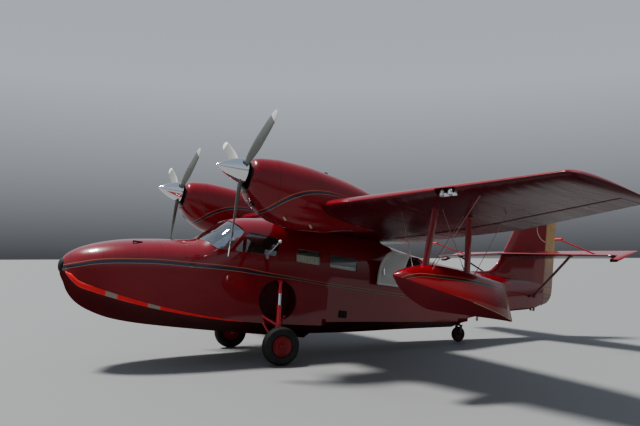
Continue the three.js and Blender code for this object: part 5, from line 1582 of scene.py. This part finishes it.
def make_floats():
    ys = lerp(FLOAT_ROWS[0][0], FLOAT_ROWS[-1][0], np.linspace(0, 1, 64) ** 1.25)
    rings = [float_ring(FLOAT.at(y)) for y in ys]
    settle_pair(loft(rings), "tip_float_{}", "airframe", "red_paint", ["float red", "float bottom"],
                ["wing_float_{}"], sharp=24, rule=float_rule)
    end = rings[-1]
    edge = [Vector(p) for p in end[FLOAT_CHINE:len(end) // 2 + 1]]
    chine = [Vector(float_ring(FLOAT.at(y))[FLOAT_CHINE]) + Vector((0.001, 0, 0))
             for y in np.linspace(4.15, 4.936, 30)]
    edging = joined(tube(edge, 0.004), tube(chine, 0.004))
    settle_pair(edging, "float_edging_{}", "airframe", "gold_paint", "gold")
    foot = (FLOAT_X, FLOAT_DRAIN_Y, 0.655)
    nub = joined(rod((FLOAT_X, FLOAT_DRAIN_Y, 0.69), foot, 0.014), ball(foot, (0.016,) * 3, 12))
    settle_pair(nub, "float_drain_{}", "airframe", "red_paint", "dull metal")


def make_float_struts():
    for name, foot, head in FLOAT_STRUTS:
        bar = strut((FLOAT_X, *foot), (FLOAT_X, *head), 0.092, 0.034)
        cuffs = [ball((FLOAT_X, foot[0], foot[1] + 0.024), (0.030, 0.066, 0.018), 16),
                 ball((FLOAT_X, head[0], head[1] - 0.036), (0.028, 0.062, 0.018), 16)]
        settle_pair(joined(bar, *cuffs), f"float_{name}_strut_{{}}", "airframe", "red_paint", "plain red",
                    [f"float_strut_{name}_{{}}"])
    wires = []
    for foot, head in FLOAT_WIRES:
        foot, head = Vector(foot), Vector(head)
        run = (head - foot).normalized()
        wires += [rod(foot, head, WIRE_RADIUS, 12),
                  rod(foot + run * 0.07, foot + run * 0.15, WIRE_END_RADIUS, 12),
                  rod(head - run * 0.12, head - run * 0.05, WIRE_END_RADIUS, 12)]
    settle_pair(joined(*wires), "float_wires_{}", "airframe", "polished_metal", "wire steel")


# THE GEAR
HUB_PROFILE = (
    (0.18, 0.90), (0.30, 0.90), (0.34, 0.62), (0.66, 0.50), (0.78, 0.62), (0.90, 0.92), (0.995, 1.0),
    (0.995, 0.80),
)


def spot(joint):
    """A joint's place in the craft's own axes."""
    return FROM_STANCE @ Vector(JOINTS[joint]["pos_m"])


def tyre_body(spec, centre, grooves):
    mean, reach, half = (spec.rim + spec.radius) / 2, (spec.radius - spec.rim) / 2, spec.width / 2
    profile = []
    for angle in np.concatenate([np.linspace(-math.pi, -0.9, 28), np.linspace(-0.9, 0.9, 90)[1:-1],
                                 np.linspace(0.9, math.pi, 28)[:-1]]):
        c, s = math.cos(angle), math.sin(angle)
        r = mean + reach * math.copysign(abs(c) ** 0.8, c)
        x = half * math.copysign(abs(s) ** 0.72, s)
        if c > 0.6 and any(abs(x / half - g) < 0.045 for g in grooves):
            r -= 0.018 * spec.radius
        profile.append((r, x))
    return turned(profile, centre, (1, 0, 0), 96)


def hub_body(spec, centre, bolts):
    rim, half, centre = spec.rim, spec.width * 0.36, Vector(centre)
    side = [(rim * r, half * x) for r, x in HUB_PROFILE]
    profile = side + [(r, -x) for r, x in side][::-1]
    parts = [turned(profile, centre, (1, 0, 0), 72),
             ball(centre + Vector((half * 0.82, 0, 0)), (rim * 0.14, rim * 0.22, rim * 0.22), 16)]
    for a in angles(bolts):
        for sign in (1, -1):
            foot = centre + Vector((sign * half * 0.48, math.cos(a) * rim * 0.56, math.sin(a) * rim * 0.56))
            parts.append(rod(foot, foot + Vector((sign * rim * 0.07, 0, 0)), rim * 0.045, 6))
    return joined(*parts)


def make_wheels():
    for side in ("port", "starboard"):
        centre, rides = spot(f"main_wheel_{side}_roll"), f"main_wheel_{side}"
        tyre = tyre_body(TYRE, centre, (-0.5, -0.17, 0.17, 0.5))
        settle(tyre, f"tyre_{side}", rides, "tyre_rubber", "tyre rubber", [f"{side}_main_tyre"])
        hub = hub_body(TYRE, (0, 0, 0), 9)
        if side == "starboard":
            hub.data.transform(Matrix.Rotation(math.pi, 4, "Z"))
        hub.data.transform(Matrix.Translation(centre))
        settle(hub, f"hub_{side}", rides, "dark_red_paint", "hub red", [f"{side}_main_hub"])
    centre = spot("tail_wheel_roll")
    tyre = tyre_body(TAIL_TYRE, centre, (-0.4, 0.4))
    settle(tyre, "tyre_tail", "tail_wheel", "tyre_rubber", "tyre rubber", ["tail_tyre"])
    hub = hub_body(TAIL_TYRE, centre, 5)
    settle(hub, "hub_tail", "tail_wheel", "dark_red_paint", "hub red", ["tail_hub"])


def on_oleo(t):
    """A point on the leg's line, 0 at its top and 1 at its foot."""
    return OLEO_TOP.lerp(OLEO_FOOT, t)


def oleo_rod(start, end, radius, steps=32):
    return rod(on_oleo(start), on_oleo(end), radius, steps)


def make_main_legs():
    """The red legs with their drag arms in a lighter red, a painted sunlight, the bright oleo and the brake
    hose.
    """
    wheel = spot("main_wheel_port_roll")
    axle_in = Vector((1.030, wheel.y, wheel.z))
    eye = turned([(0.017, -0.020), (0.034, -0.020), (0.034, 0.020), (0.017, 0.020)], OLEO_TOP, (0, 1, 0), 32)
    red = [eye, oleo_rod(0.04, 0.20, 0.022, 24), oleo_rod(0.18, 0.27, 0.030, 28), oleo_rod(0.555, 1.0, 0.036),
           oleo_rod(0.54, 0.58, 0.041), oleo_rod(0.93, 0.97, 0.041),
           rod(OLEO_TOP, OLEO_TOP + Vector((-0.10, 0, 0.022)), 0.016, 24),
           ball(OLEO_FOOT, (0.045, 0.045, 0.045), 20), rod(OLEO_FOOT, axle_in, 0.030, 28),
           ball(axle_in, (0.034, 0.040, 0.040), 18)]
    for arm_y in DRAG_ARMS:
        red.append(rod(OLEO_FOOT, (0.705, arm_y, 0.345), 0.018, 24))
        red.append(ball((0.712, arm_y, 0.342), (0.024, 0.030, 0.030), 16))
    red.append(rod(axle_in + Vector((-0.01, -0.02, -0.01)), (0.762, 2.930, 0.236), 0.014, 20))
    settle_pair(joined(*red), "gear_leg_{}", "airframe", "red_paint", "bright red", ["main_gear_leg_{}"])
    bright = joined(oleo_rod(0.25, 0.56, 0.026), oleo_rod(0.245, 0.265, 0.029),
                    rod(axle_in, wheel + Vector((0.040, 0, 0)), 0.0255, 32))
    settle_pair(bright, "gear_chrome_{}", "airframe", "polished_metal", "chrome")
    hose = [on_oleo(0.30) + Vector((0.02, 0.045, 0)), on_oleo(0.55) + Vector((0.03, 0.060, 0)),
            on_oleo(0.8) + Vector((0.02, 0.052, 0)), OLEO_FOOT + Vector((0.02, 0.05, 0.02)),
            axle_in + Vector((0.0, 0.05, 0.01))]
    settle_pair(tube(hose, 0.006, 12), "brake_hose_{}", "airframe", "bumper_rubber", "seal black")


def well_circle(grow):
    return circle(WELL.y, WELL.z, WELL.radius + grow, 96)


def make_wheel_bays():
    """The round wells with their hoops and spokes in a darker red of painted shade, and the lip round each.
    """
    liner = common(prism(well_circle(-0.0005), WELL.bottom_x, 1.0), hull_skin(2.7, 3.6, 0.0005))
    liner = cut(liner, prism(well_circle(-WELL.wall), WELL.bottom_x + WELL.wall, 1.1))
    outer, inner = WELL.radius - 0.013, WELL.radius - 0.022
    profile = [(inner, -0.006), (outer, -0.006), (outer, 0.006), (inner, 0.006)]
    hoops = [turned(profile, (x, WELL.y, WELL.z), (1, 0, 0), 72) for x in (0.56, 0.64)]
    middle_point = Vector((WELL.bottom_x + WELL.wall, WELL.y, WELL.z))
    for a in angles(8):
        out = Vector((0, math.cos(a), math.sin(a)))
        hoops.append(rod(middle_point + out * 0.07, middle_point + out * 0.30, 0.006, 10))
    settle_pair(joined(liner, *hoops), "wheel_bay_{}", "airframe", "dark_red_paint", "bay red",
                ["wheel_well_{}"])
    lip = common(shell_between(2.7, 3.6, -0.003, 0.003), prism(well_circle(0.012), 0.3, 1.0))
    lip = cut(lip, prism(well_circle(-0.001), 0.2, 1.1))
    settle_pair(lip, "wheel_bay_lip_{}", "airframe", "red_paint", "plain red")


def make_tail_gear():
    wheel = spot("tail_wheel_roll")
    crown_low, crown_high = FORK_CROWN
    inner, outer = TAIL_TYRE.width / 2 + 0.016, TAIL_TYRE.width / 2 + 0.034
    crown = block((-outer, TAIL_PIVOT_Y - 0.040, crown_low), (outer, TAIL_PIVOT_Y + 0.055, crown_high))
    parts = [bevelled(crown, 0.005)]
    for x0, x1 in ((inner, outer), (-outer, -inner)):
        arm = block((x0, wheel.y - 0.028, wheel.z - 0.030), (x1, wheel.y + 0.028, crown_high - 0.001))
        parts.append(bevelled(arm, 0.005))
    for x0, x1, radius, steps in (
        (-outer, outer, 0.0118, 24), (-outer, 0.004 - outer, 0.020, 6), (outer - 0.004, outer, 0.020, 6),
    ):
        parts.append(rod((x0, wheel.y, wheel.z), (x1, wheel.y, wheel.z), radius, steps))
    settle(joined(*parts), "tail_yoke", "tail_castor", "dark_red_paint", "satin black", ["tail_fork"])
    foot = (0, TAIL_PIVOT_Y, crown_high + 0.001)
    leg = joined(rod(foot, (0, TAIL_PIVOT_Y, 0.640), 0.036, 32),
                 rod(foot, (0, TAIL_PIVOT_Y, crown_high + 0.014), 0.044, 32),
                 rod((0, TAIL_PIVOT_Y, 0.505), (0, TAIL_PIVOT_Y + 0.150, 0.640), 0.020, 24))
    settle(leg, "tail_post", "airframe", "dark_red_paint", "satin black", ["tail_leg"])


# THE NACELLES
NACELLE = Sections(NACELLE_COLUMNS, NACELLE_ROWS)


def nacelle_ring(top, bottom, half, y, power=0.88):
    centre = (top + bottom) / 2
    ring = []
    for angle in angles(NACELLE_STEPS):
        c, s = math.cos(angle), math.sin(angle)
        ring.append((NACELLE_X + math.copysign(abs(c) ** power, c) * half, y,
                     centre + math.copysign(abs(s) ** power, s) * (top - bottom) / 2))
    return ring


def make_nacelles():
    ys = 2.062 + (4.60 - 2.062) * np.linspace(0, 1, 70) ** 1.35
    outer = [nacelle_ring(row.top, row.bottom, row.half, row.y) for row in map(NACELLE.at, ys)]
    face = np.array(outer[0])
    hole = np.array(nacelle_ring(INTAKE.top, INTAKE.bottom, INTAKE.half, INTAKE.y, INTAKE.power))
    lip = []
    for t in np.linspace(0, 1, 9)[1:-1]:
        ring = lerp(face, hole, (1 - math.cos(math.pi * t)) / 2)
        ring[:, 1] -= 0.022 * math.sin(math.pi * t)
        lip.append(ring)
    duct = [hole]
    for depth in (0.05, 0.12, 0.20):
        ring = hole.copy()
        ring[:, 1] += depth
        duct.append(ring)
    shell = loft([*duct[::-1], *lip[::-1], *outer])
    shell = cut(shell, rod((NACELLE_X + 0.09, 1.98, 1.875), (NACELLE_X + 0.07, 2.30, 1.885), 0.034, 28))

    def rule(centres, normals):
        """0 paint, 1 the lip in a darker red of painted shade, 2 black duct, painted shade inside the
        intakes.
        """
        y, z = centres[:, 1], centres[:, 2]
        radial = np.hypot(abs(centres[:, 0]) - NACELLE_X, (z - INTAKE_MIDDLE) * 1.12)
        chosen = np.zeros(len(y), int)
        chosen[(y < 2.075) & (radial < 0.262) & (radial > 0.2)] = 1
        chosen[(y > 2.0745) & (radial < 0.250) & (y < 2.30) & (z > 2.03)] = 2
        inside = (np.hypot(abs(centres[:, 0]) - NACELLE_X - 0.08, z - 1.88) < 0.04) & (y < 2.31)
        chosen[inside] = 2
        return chosen

    looks = ["nacelle red", "lip maroon", "duct black"]
    settle_pair(shell, "cowl_{}", "airframe", "red_paint", looks, ["nacelle_{}"], rule=rule)


def studs(name, rows, radius, height, look):
    """Rivet heads, one on each point of rows, which pairs points with the directions they face."""
    mesh = bpy.data.meshes.new(name)
    mesh.from_pydata([tuple(point) for point, out in rows], [], [])
    layer = mesh.attributes.new("facing", "FLOAT_VECTOR", "POINT")
    layer.data.foreach_set("vector", np.array([tuple(out) for point, out in rows], np.float32).ravel())
    body = placed(mesh, name)
    tree = bpy.data.node_groups.new(name, "GeometryNodeTree")
    tree.interface.new_socket("Geometry", in_out="INPUT", socket_type="NodeSocketGeometry")
    tree.interface.new_socket("Geometry", in_out="OUTPUT", socket_type="NodeSocketGeometry")
    sizes = {"Stud radius": radius, "Stud height": height}
    for label in sizes:
        tree.interface.new_socket(label, in_out="INPUT", socket_type="NodeSocketFloat")
    make, link = tree.nodes.new, tree.links.new
    start, end = make("NodeGroupInput"), make("NodeGroupOutput")
    head, place = make("GeometryNodeMeshUVSphere"), make("GeometryNodeInstanceOnPoints")
    head.inputs["Segments"].default_value, head.inputs["Rings"].default_value = 6, 3
    facing, turn = make("GeometryNodeInputNamedAttribute"), make("FunctionNodeAlignRotationToVector")
    facing.data_type = "FLOAT_VECTOR"
    facing.inputs["Name"].default_value = "facing"
    turn.axis = "Z"
    size, real = make("ShaderNodeCombineXYZ"), make("GeometryNodeRealizeInstances")
    skin = make("GeometryNodeSetMaterial")
    skin.inputs["Material"].default_value = finish(look)
    link(start.outputs["Geometry"], place.inputs["Points"])
    link(head.outputs["Mesh"], place.inputs["Instance"])
    link(facing.outputs["Attribute"], turn.inputs["Vector"])
    link(turn.outputs["Rotation"], place.inputs["Rotation"])
    for axis, label in zip("XYZ", ("Stud radius", "Stud radius", "Stud height")):
        link(start.outputs[label], size.inputs[axis])
    link(size.outputs[0], place.inputs["Scale"])
    link(place.outputs["Instances"], real.inputs[0])
    link(real.outputs[0], skin.inputs["Geometry"])
    link(skin.outputs[0], end.inputs[0])
    modifier = body.modifiers.new("studs", "NODES")
    modifier.node_group = tree
    for item in tree.interface.items_tree:
        if item.in_out == "INPUT" and item.name in sizes:
            modifier[item.identifier] = sizes[item.name]
    settle(made_plain(body), name, "airframe", "red_paint", look)


def both_sides(rows, point, out):
    """Adds a rivet to port and its mirror image to starboard."""
    point = Vector(point)
    rows.append((point, out))
    rows.append((Vector((-point.x, point.y, point.z)), Vector((-out.x, out.y, out.z))))


def add_hull_rivet(rows, y, z):
    if math.hypot(y - WELL.y, z - WELL.z) < WELL.radius + 0.05:
        return
    slope_y = (hull_x(y + 0.01, z) - hull_x(y - 0.01, z)) / 0.02
    slope_z = (hull_x(y, z + 0.01) - hull_x(y, z - 0.01)) / 0.02
    both_sides(rows, (hull_x(y, z), y, z), Vector((1, -slope_y, -slope_z)).normalized())


def hull_rivets():
    rows = []
    for y in HULL_RIVET_ROWS:
        row = section_at(y)
        for z in np.arange(row.chine_z + 0.05, row.side_z - 0.02, RIVET_PITCH):
            add_hull_rivet(rows, y, float(z))
    for y in np.arange(0.60, 8.90, RIVET_PITCH):
        add_hull_rivet(rows, float(y), section_at(float(y)).chine_z + 0.035)
    return rows


def skin_point(x, share, side):
    """A point on the wing's skin; side is 1 on top and -1 below."""
    rib = rib_at(x)
    return Vector(on_rib(rib, share, float(middle(share) + side * thick(share, rib.thickness)), x))


def add_wing_rivet(rows, x, share, side):
    where = skin_point(x, share, side)
    along = (skin_point(x, share + 0.01, side) - where).normalized()
    both_sides(rows, where, Vector((0, -along.z, along.y)) * side)


def wing_rivets():
    rows = []
    for side in (-1, 1):
        for share in WING_SPARS:
            for x in np.arange(CENTRE_HALF_SPAN + 0.05, 5.98, RIVET_PITCH * 0.7):
                add_wing_rivet(rows, float(x), share, side)
        for x in np.arange(2.40, 5.95, 0.355):
            for share in np.arange(0.14, 0.66, 0.032):
                add_wing_rivet(rows, float(x), float(share), side)
    return rows


def nacelle_rivets():
    rows = []
    for y in NACELLE_RIVET_ROWS:
        row, after = NACELLE.at(y), NACELLE.at(y + 0.02)
        ring = [Vector(p) for p in nacelle_ring(row.top, row.bottom, row.half, y)]
        behind = [Vector(p) for p in nacelle_ring(after.top, after.bottom, after.half, y + 0.02)]
        for i, point in enumerate(ring):
            along = behind[i] - point
            around = ring[(i + 1) % len(ring)] - ring[i - 1]
            out = around.cross(along).normalized()
            if out.dot(point - Vector((NACELLE_X, y, (row.top + row.bottom) / 2))) < 0:
                out = -out
            both_sides(rows, point, out)
    return rows


def make_rivets():
    for name, rows in (("hull", hull_rivets()), ("wing", wing_rivets()), ("nacelle", nacelle_rivets())):
        studs(f"{name}_rivets", rows, RIVET.radius, RIVET.height, "plain red")
    lugs = [block((x, 8.962, 0.880), (x + 0.016, 9.004, 0.960)) for x in (-0.052, 0.036)]
    pin = rod((-0.062, 8.983, 0.892), (0.062, 8.983, 0.892), 0.008, 16)
    settle(joined(*lugs, pin), "stern_lugs", "airframe", "red_paint", "dark red")


def make_nacelle_fittings():
    knob = joined(ball((NACELLE_X, 3.265, 2.504), (0.030, 0.030, 0.014), 18),
                  rod((NACELLE_X, 3.265, 2.45), (NACELLE_X, 3.265, 2.500), 0.010, 16))
    settle_pair(knob, "filler_knob_{}", "airframe", "polished_metal", "seal black")
    pipes = []
    for y, z in ((2.560, 1.742), (2.960, 1.690)):
        start = Vector((NACELLE_X + 0.250, y, z + 0.03))
        run = Vector((0.25, 0.55, -0.80)).normalized()
        profile = [(0.012, 0), (0.016, 0), (0.016, 0.06), (0.012, 0.06)]
        pipes.append(turned(profile, start + run * 0.03, run, 28))
    settle_pair(joined(*pipes), "exhaust_stubs_{}", "airframe", "engine_metal", "exhaust")
    for side in ("port", "starboard"):
        node = frame["nodes"][f"engine_block_{side}"]
        node = node if hasattr(node, "data") else bpy.data.objects[f"engine_block_{side}"]
        node.data.materials.clear()
        node.data.materials.append(finish("engine grey"))


# PROPELLERS
def prop_place(sign):
    """Where a propeller stands: its axis tilted and its first blade turned up."""
    tilt = Matrix.Rotation(math.radians(PROP.tilt), 4, "X")
    first = Matrix.Rotation(math.radians(90 - PROP.first), 4, "Y")
    return Matrix.Translation((sign * NACELLE_X, PROP.y, PROP.z)) @ tilt @ first


def blade_turns():
    return [Matrix.Rotation(angle, 4, "Y") for angle in angles(PROP.blades)]


def blade_body():
    blade = Sections(BLADE_COLUMNS, BLADE_ROWS)
    rings = []
    tip = 1.12 + 0.08 * np.sin(np.linspace(0, np.pi / 2, 10)[1:])
    for radius in np.concatenate([np.linspace(0.10, 1.12, 40), tip]):
        row = blade.at(radius)
        c, s = math.cos(math.radians(row.pitch)), math.sin(math.radians(row.pitch))
        ring = []
        for angle in angles(32):
            u = math.cos(angle) * row.chord / 2
            v = math.sin(angle) * row.thickness / 2 * (1 + 0.25 * math.cos(angle))
            ring.append((u * c - v * s, u * s + v * c, radius))
        rings.append(ring)
    return loft(rings)


def propeller_body():
    """The blades with their collars on the hub."""
    blades = []
    for turn in blade_turns():
        blade = joined(blade_body(), rod((0, 0, 0.06), (0, 0, 0.150), 0.036, 28),
                       rod((0, 0, 0.150), (0, 0, 0.172), 0.046, 28))
        blade.data.transform(turn)
        blades.append(blade)
    rim, back, round_off = PROP.hub, PROP.hub_half, 0.005
    side = [(0, back), (rim - round_off, back), (rim, back - round_off)]
    hub = turned([(r, -y) for r, y in side] + side[::-1], (0, 0, 0), (0, 1, 0), 40)
    return joined(hub, *blades)


def spinner_body():
    """The pointed cone over the hub, with a hole for each blade."""
    sizes = bpy.context.scene.flying_boat.engines
    wide, long = sizes.spinner_radius, sizes.spinner_length
    profile = [(0, PROP.hub_half), (wide - 0.004, PROP.hub_half), (wide, 0.040)]
    for t in np.linspace(0, 1, 40)[1:]:
        profile.append((wide * (1 - t ** 1.55) ** 0.86, 0.04 - t * (long + 0.04)))
    profile[-1] = (0, -long)
    spinner = turned(profile, (0, 0, 0), (0, 1, 0), 72)
    for turn in blade_turns():
        hole = rod((0, 0, 0.05), (0, 0, 0.30), 0.050, 32)
        hole.data.transform(turn)
        spinner = cut(spinner, hole)
    return spinner


def make_propellers():
    for side, sign in (("port", 1), ("starboard", -1)):
        place = prop_place(sign)

        def rule(centres, normals, back=np.array(place.inverted())):
            """0 grey blades, 1 their pale tips, 2 the collars near the hub."""
            local = centres @ back[:3, :3].T + back[:3, 3]
            radius = np.hypot(local[:, 0], local[:, 2])
            return np.where(radius > TIP_PAINT_FROM, 1, np.where(radius < COLLAR_TO, 2, 0))

        propeller, spinner = propeller_body(), spinner_body()
        propeller.data.transform(place)
        spinner.data.transform(place)
        rides = f"propeller_{side}"
        settle(propeller, f"blades_{side}", rides, "blade_paint", ["blade grey", "blade tip", "collar grey"],
               [rides], rule=rule)
        settle(spinner, f"spinner_cone_{side}", rides, "polished_metal", "polished metal",
               [f"spinner_{side}"])


# SETTINGS
def length(name, description, default):
    return FloatProperty(name=name, description=description, default=default, unit="LENGTH")


def tint(name, description, default):
    return FloatVectorProperty(name=name, description=description, default=default[:3] + (1.0,), size=4,
                               subtype="COLOR", min=0, max=1)


class HullSizes(bpy.types.PropertyGroup):
    """Sizes of the hull"""
    wall: length("Wall", "Thickness of the cabin wall", 0.034)
    seal: length("Window seal", "Width of the strip round each window", 0.014)


class CabinSizes(bpy.types.PropertyGroup):
    """How the seats are filled"""
    voxel: length("Grid", "Size of the cushion's grid", 0.016)
    cap: length("Swell", "Most that a point of a cushion moves out", 0.014)
    pressure: FloatProperty(name="Pressure", description="Air pressure in the cushions", default=4.0, min=0)


class EngineSizes(bpy.types.PropertyGroup):
    """Sizes of the propellers"""
    spinner_radius: length("Spinner radius", "Radius of the spinner at its back", 0.180)
    spinner_length: length("Spinner length", "From the propeller's middle to the spinner's tip", 0.385)


class PaintColours(bpy.types.PropertyGroup):
    """Colours of the paint"""
    red: tint("Red", "Body paint", colour(126, 4, 20))
    red_shade: tint("Red shade", "Body paint where it looks darker", colour(104, 3, 16))
    band: length("Band", "Width of the navy band", 0.040)


class StageSettings(bpy.types.PropertyGroup):
    """Floor and light"""
    floor: tint("Floor", "Floor colour", colour(120, 120, 118))
    sky: FloatProperty(name="Sky", description="Brightness of the room", default=0.62, min=0)
    key: FloatProperty(name="Key light", description="Strength of the main light", default=7.0, min=0)
    softness: FloatProperty(name="Softness", description="Breadth of the main light in degrees", default=10,
                            min=0)


class FlyingBoat(bpy.types.PropertyGroup):
    """All the settings of the flying boat"""
    hull: PointerProperty(type=HullSizes)
    cabin: PointerProperty(type=CabinSizes)
    engines: PointerProperty(type=EngineSizes)
    paint: PointerProperty(type=PaintColours)
    stage: PointerProperty(type=StageSettings)


# OPERATORS
class FB_OT_hull(bpy.types.Operator):
    """Make the hull's skin with its openings"""
    bl_idname = "flying_boat.hull"
    bl_label = "Hull"

    def execute(self, context):
        make_hull()
        return {"FINISHED"}


class FB_OT_windows(bpy.types.Operator):
    """Make the windscreen, the window panes and their seals"""
    bl_idname = "flying_boat.windows"
    bl_label = "Windows"

    def execute(self, context):
        make_windows()
        return {"FINISHED"}


class FB_OT_strakes(bpy.types.Operator):
    """Make the chine strips, the bow fender and the hatch latches"""
    bl_idname = "flying_boat.strakes"
    bl_label = "Strakes and Fender"

    def execute(self, context):
        make_strakes()
        return {"FINISHED"}


class FB_OT_door(bpy.types.Operator):
    """Make the open cabin door with its hinges"""
    bl_idname = "flying_boat.door"
    bl_label = "Door"

    def execute(self, context):
        make_door()
        return {"FINISHED"}


class FB_OT_cabin(bpy.types.Operator):
    """Make the cabin's lining, seats and instrument panel"""
    bl_idname = "flying_boat.cabin"
    bl_label = "Cabin"

    def execute(self, context):
        make_lining()
        make_dash()
        make_curtains()
        make_side_fittings()
        make_seats()
        return {"FINISHED"}


class FB_OT_wing(bpy.types.Operator):
    """Make the wing with its flaps and ailerons"""
    bl_idname = "flying_boat.wing"
    bl_label = "Wing"

    def execute(self, context):
        make_wing()
        return {"FINISHED"}


class FB_OT_nacelles(bpy.types.Operator):
    """Make the engine nacelles"""
    bl_idname = "flying_boat.nacelles"
    bl_label = "Nacelles"

    def execute(self, context):
        make_nacelles()
        return {"FINISHED"}


class FB_OT_propellers(bpy.types.Operator):
    """Make the propellers and spinners"""
    bl_idname = "flying_boat.propellers"
    bl_label = "Propellers"

    def execute(self, context):
        make_propellers()
        return {"FINISHED"}


class FB_OT_lamps(bpy.types.Operator):
    """Make the landing lamps and the tip lamps"""
    bl_idname = "flying_boat.lamps"
    bl_label = "Lamps"

    def execute(self, context):
        make_lamps()
        return {"FINISHED"}


class FB_OT_fin(bpy.types.Operator):
    """Make the fin and the rudder"""
    bl_idname = "flying_boat.fin"
    bl_label = "Fin and Rudder"

    def execute(self, context):
        make_fin()
        make_rudder()
        return {"FINISHED"}


class FB_OT_tailplane(bpy.types.Operator):
    """Make the tailplane, the elevators and the braces"""
    bl_idname = "flying_boat.tailplane"
    bl_label = "Tailplane"

    def execute(self, context):
        make_tailplane()
        make_tail_fittings()
        return {"FINISHED"}


class FB_OT_floats(bpy.types.Operator):
    """Make the wing floats with their struts and wires"""
    bl_idname = "flying_boat.floats"
    bl_label = "Floats"

    def execute(self, context):
        make_floats()
        make_float_struts()
        return {"FINISHED"}


class FB_OT_gear(bpy.types.Operator):
    """Make the wheels, the legs and the wheel bays"""
    bl_idname = "flying_boat.gear"
    bl_label = "Gear"

    def execute(self, context):
        make_wheels()
        make_main_legs()
        make_wheel_bays()
        make_tail_gear()
        return {"FINISHED"}


class FB_OT_fittings(bpy.types.Operator):
    """Make the rivets and the small fittings"""
    bl_idname = "flying_boat.fittings"
    bl_label = "Rivets and Fittings"

    def execute(self, context):
        make_nacelle_fittings()
        make_rivets()
        return {"FINISHED"}


class FB_OT_stage(bpy.types.Operator):
    """Make the camera, the floor and the light"""
    bl_idname = "flying_boat.stage"
    bl_label = "Stage"

    def execute(self, context):
        make_stage(context)
        return {"FINISHED"}


# STAGE
CAMERA = SimpleNamespace(place=(10.6088, -5.8287, 1.6088), yaw=1.1154, pitch=3.6077, roll=-0.0019,
                         lens=38.617)
FLOOR_REACH = 400


def aimed(thing, place, target):
    thing.location = place
    thing.rotation_euler = (Vector(target) - Vector(place)).to_track_quat("-Z", "Y").to_euler()


def make_stage(context):
    stage = context.scene.flying_boat.stage
    scene = context.scene
    camera = bpy.data.objects.new("camera", bpy.data.cameras.new("camera"))
    scene.collection.objects.link(camera)
    camera.location = CAMERA.place
    turns = ((CAMERA.yaw, "Z"), (math.pi / 2 + math.radians(CAMERA.pitch), "X"), (CAMERA.roll, "Z"))
    yaw, pitch, roll = (Matrix.Rotation(angle, 3, axis) for angle, axis in turns)
    camera.rotation_euler = (yaw @ pitch @ roll).to_euler()
    camera.data.sensor_width = 36
    camera.data.lens = CAMERA.lens
    scene.camera = camera

    edges = [[(x, -FLOOR_REACH, 0), (x, FLOOR_REACH, 0)] for x in (-FLOOR_REACH, FLOOR_REACH)]
    floor = loft(edges, first=False, last=False, closed=False)
    floor.name = "floor"
    ground = Finish("floor")
    ground.set(base_color=tuple(stage.floor), roughness=0.75)
    floor.data.materials.append(ground.material)

    world = bpy.data.worlds.new("room")
    world.use_nodes = True
    scene.world = world
    tree = world.node_tree
    back = tree.nodes["Background"]
    where = tree.nodes.new("ShaderNodeTexCoord")
    split = tree.nodes.new("ShaderNodeSeparateXYZ")
    ramp = tree.nodes.new("ShaderNodeValToRGB")
    tree.links.new(where.outputs["Generated"], split.inputs[0])
    tree.links.new(split.outputs["Z"], ramp.inputs[0])
    tree.links.new(ramp.outputs[0], back.inputs["Color"])
    stops = ramp.color_ramp.elements
    stops[0].position, stops[0].color = 0.0, colour(92, 94, 98)
    stops[1].position, stops[1].color = 0.9, colour(186, 202, 226)
    middle_stop = stops.new(0.24)
    middle_stop.color = colour(228, 236, 246)
    back.inputs["Strength"].default_value = stage.sky

    lamp = bpy.data.objects.new("key", bpy.data.lights.new("key", "SUN"))
    lamp.data.angle = math.radians(stage.softness)
    lamp.data.energy = stage.key
    aimed(lamp, (-4.5, -4.5, 13), (0, -0.5, 1.5))
    scene.collection.objects.link(lamp)


class FB_PT_panel(bpy.types.Panel):
    """Lists the settings and the makers in the sidebar"""
    bl_label = "Flying Boat"
    bl_idname = "FB_PT_panel"
    bl_space_type = "VIEW_3D"
    bl_region_type = "UI"
    bl_category = "Flying Boat"

    def draw(self, context):
        boat = context.scene.flying_boat
        for group in (boat.hull, boat.cabin, boat.engines, boat.paint, boat.stage):
            box = self.layout.box()
            for name in group.__annotations__:
                box.prop(group, name)
        for operator in OPERATORS:
            self.layout.operator(operator.bl_idname)


OPERATORS = (
    FB_OT_stage, FB_OT_hull, FB_OT_windows, FB_OT_strakes, FB_OT_door, FB_OT_cabin, FB_OT_wing,
    FB_OT_nacelles, FB_OT_propellers, FB_OT_lamps, FB_OT_fin, FB_OT_tailplane, FB_OT_floats, FB_OT_gear,
    FB_OT_fittings,
)
CLASSES = (
    HullSizes, CabinSizes, EngineSizes, PaintColours, StageSettings, FlyingBoat, *OPERATORS, FB_PT_panel,
)


def register():
    for one in CLASSES:
        bpy.utils.register_class(one)
    bpy.types.Scene.flying_boat = PointerProperty(type=FlyingBoat)


def unregister():
    del bpy.types.Scene.flying_boat
    for one in reversed(CLASSES):
        bpy.utils.unregister_class(one)


def main():
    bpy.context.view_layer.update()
    register()
    for operator in OPERATORS:
        getattr(bpy.ops.flying_boat, operator.bl_idname.split(".")[1])()


if __name__ == "__main__":
    main()
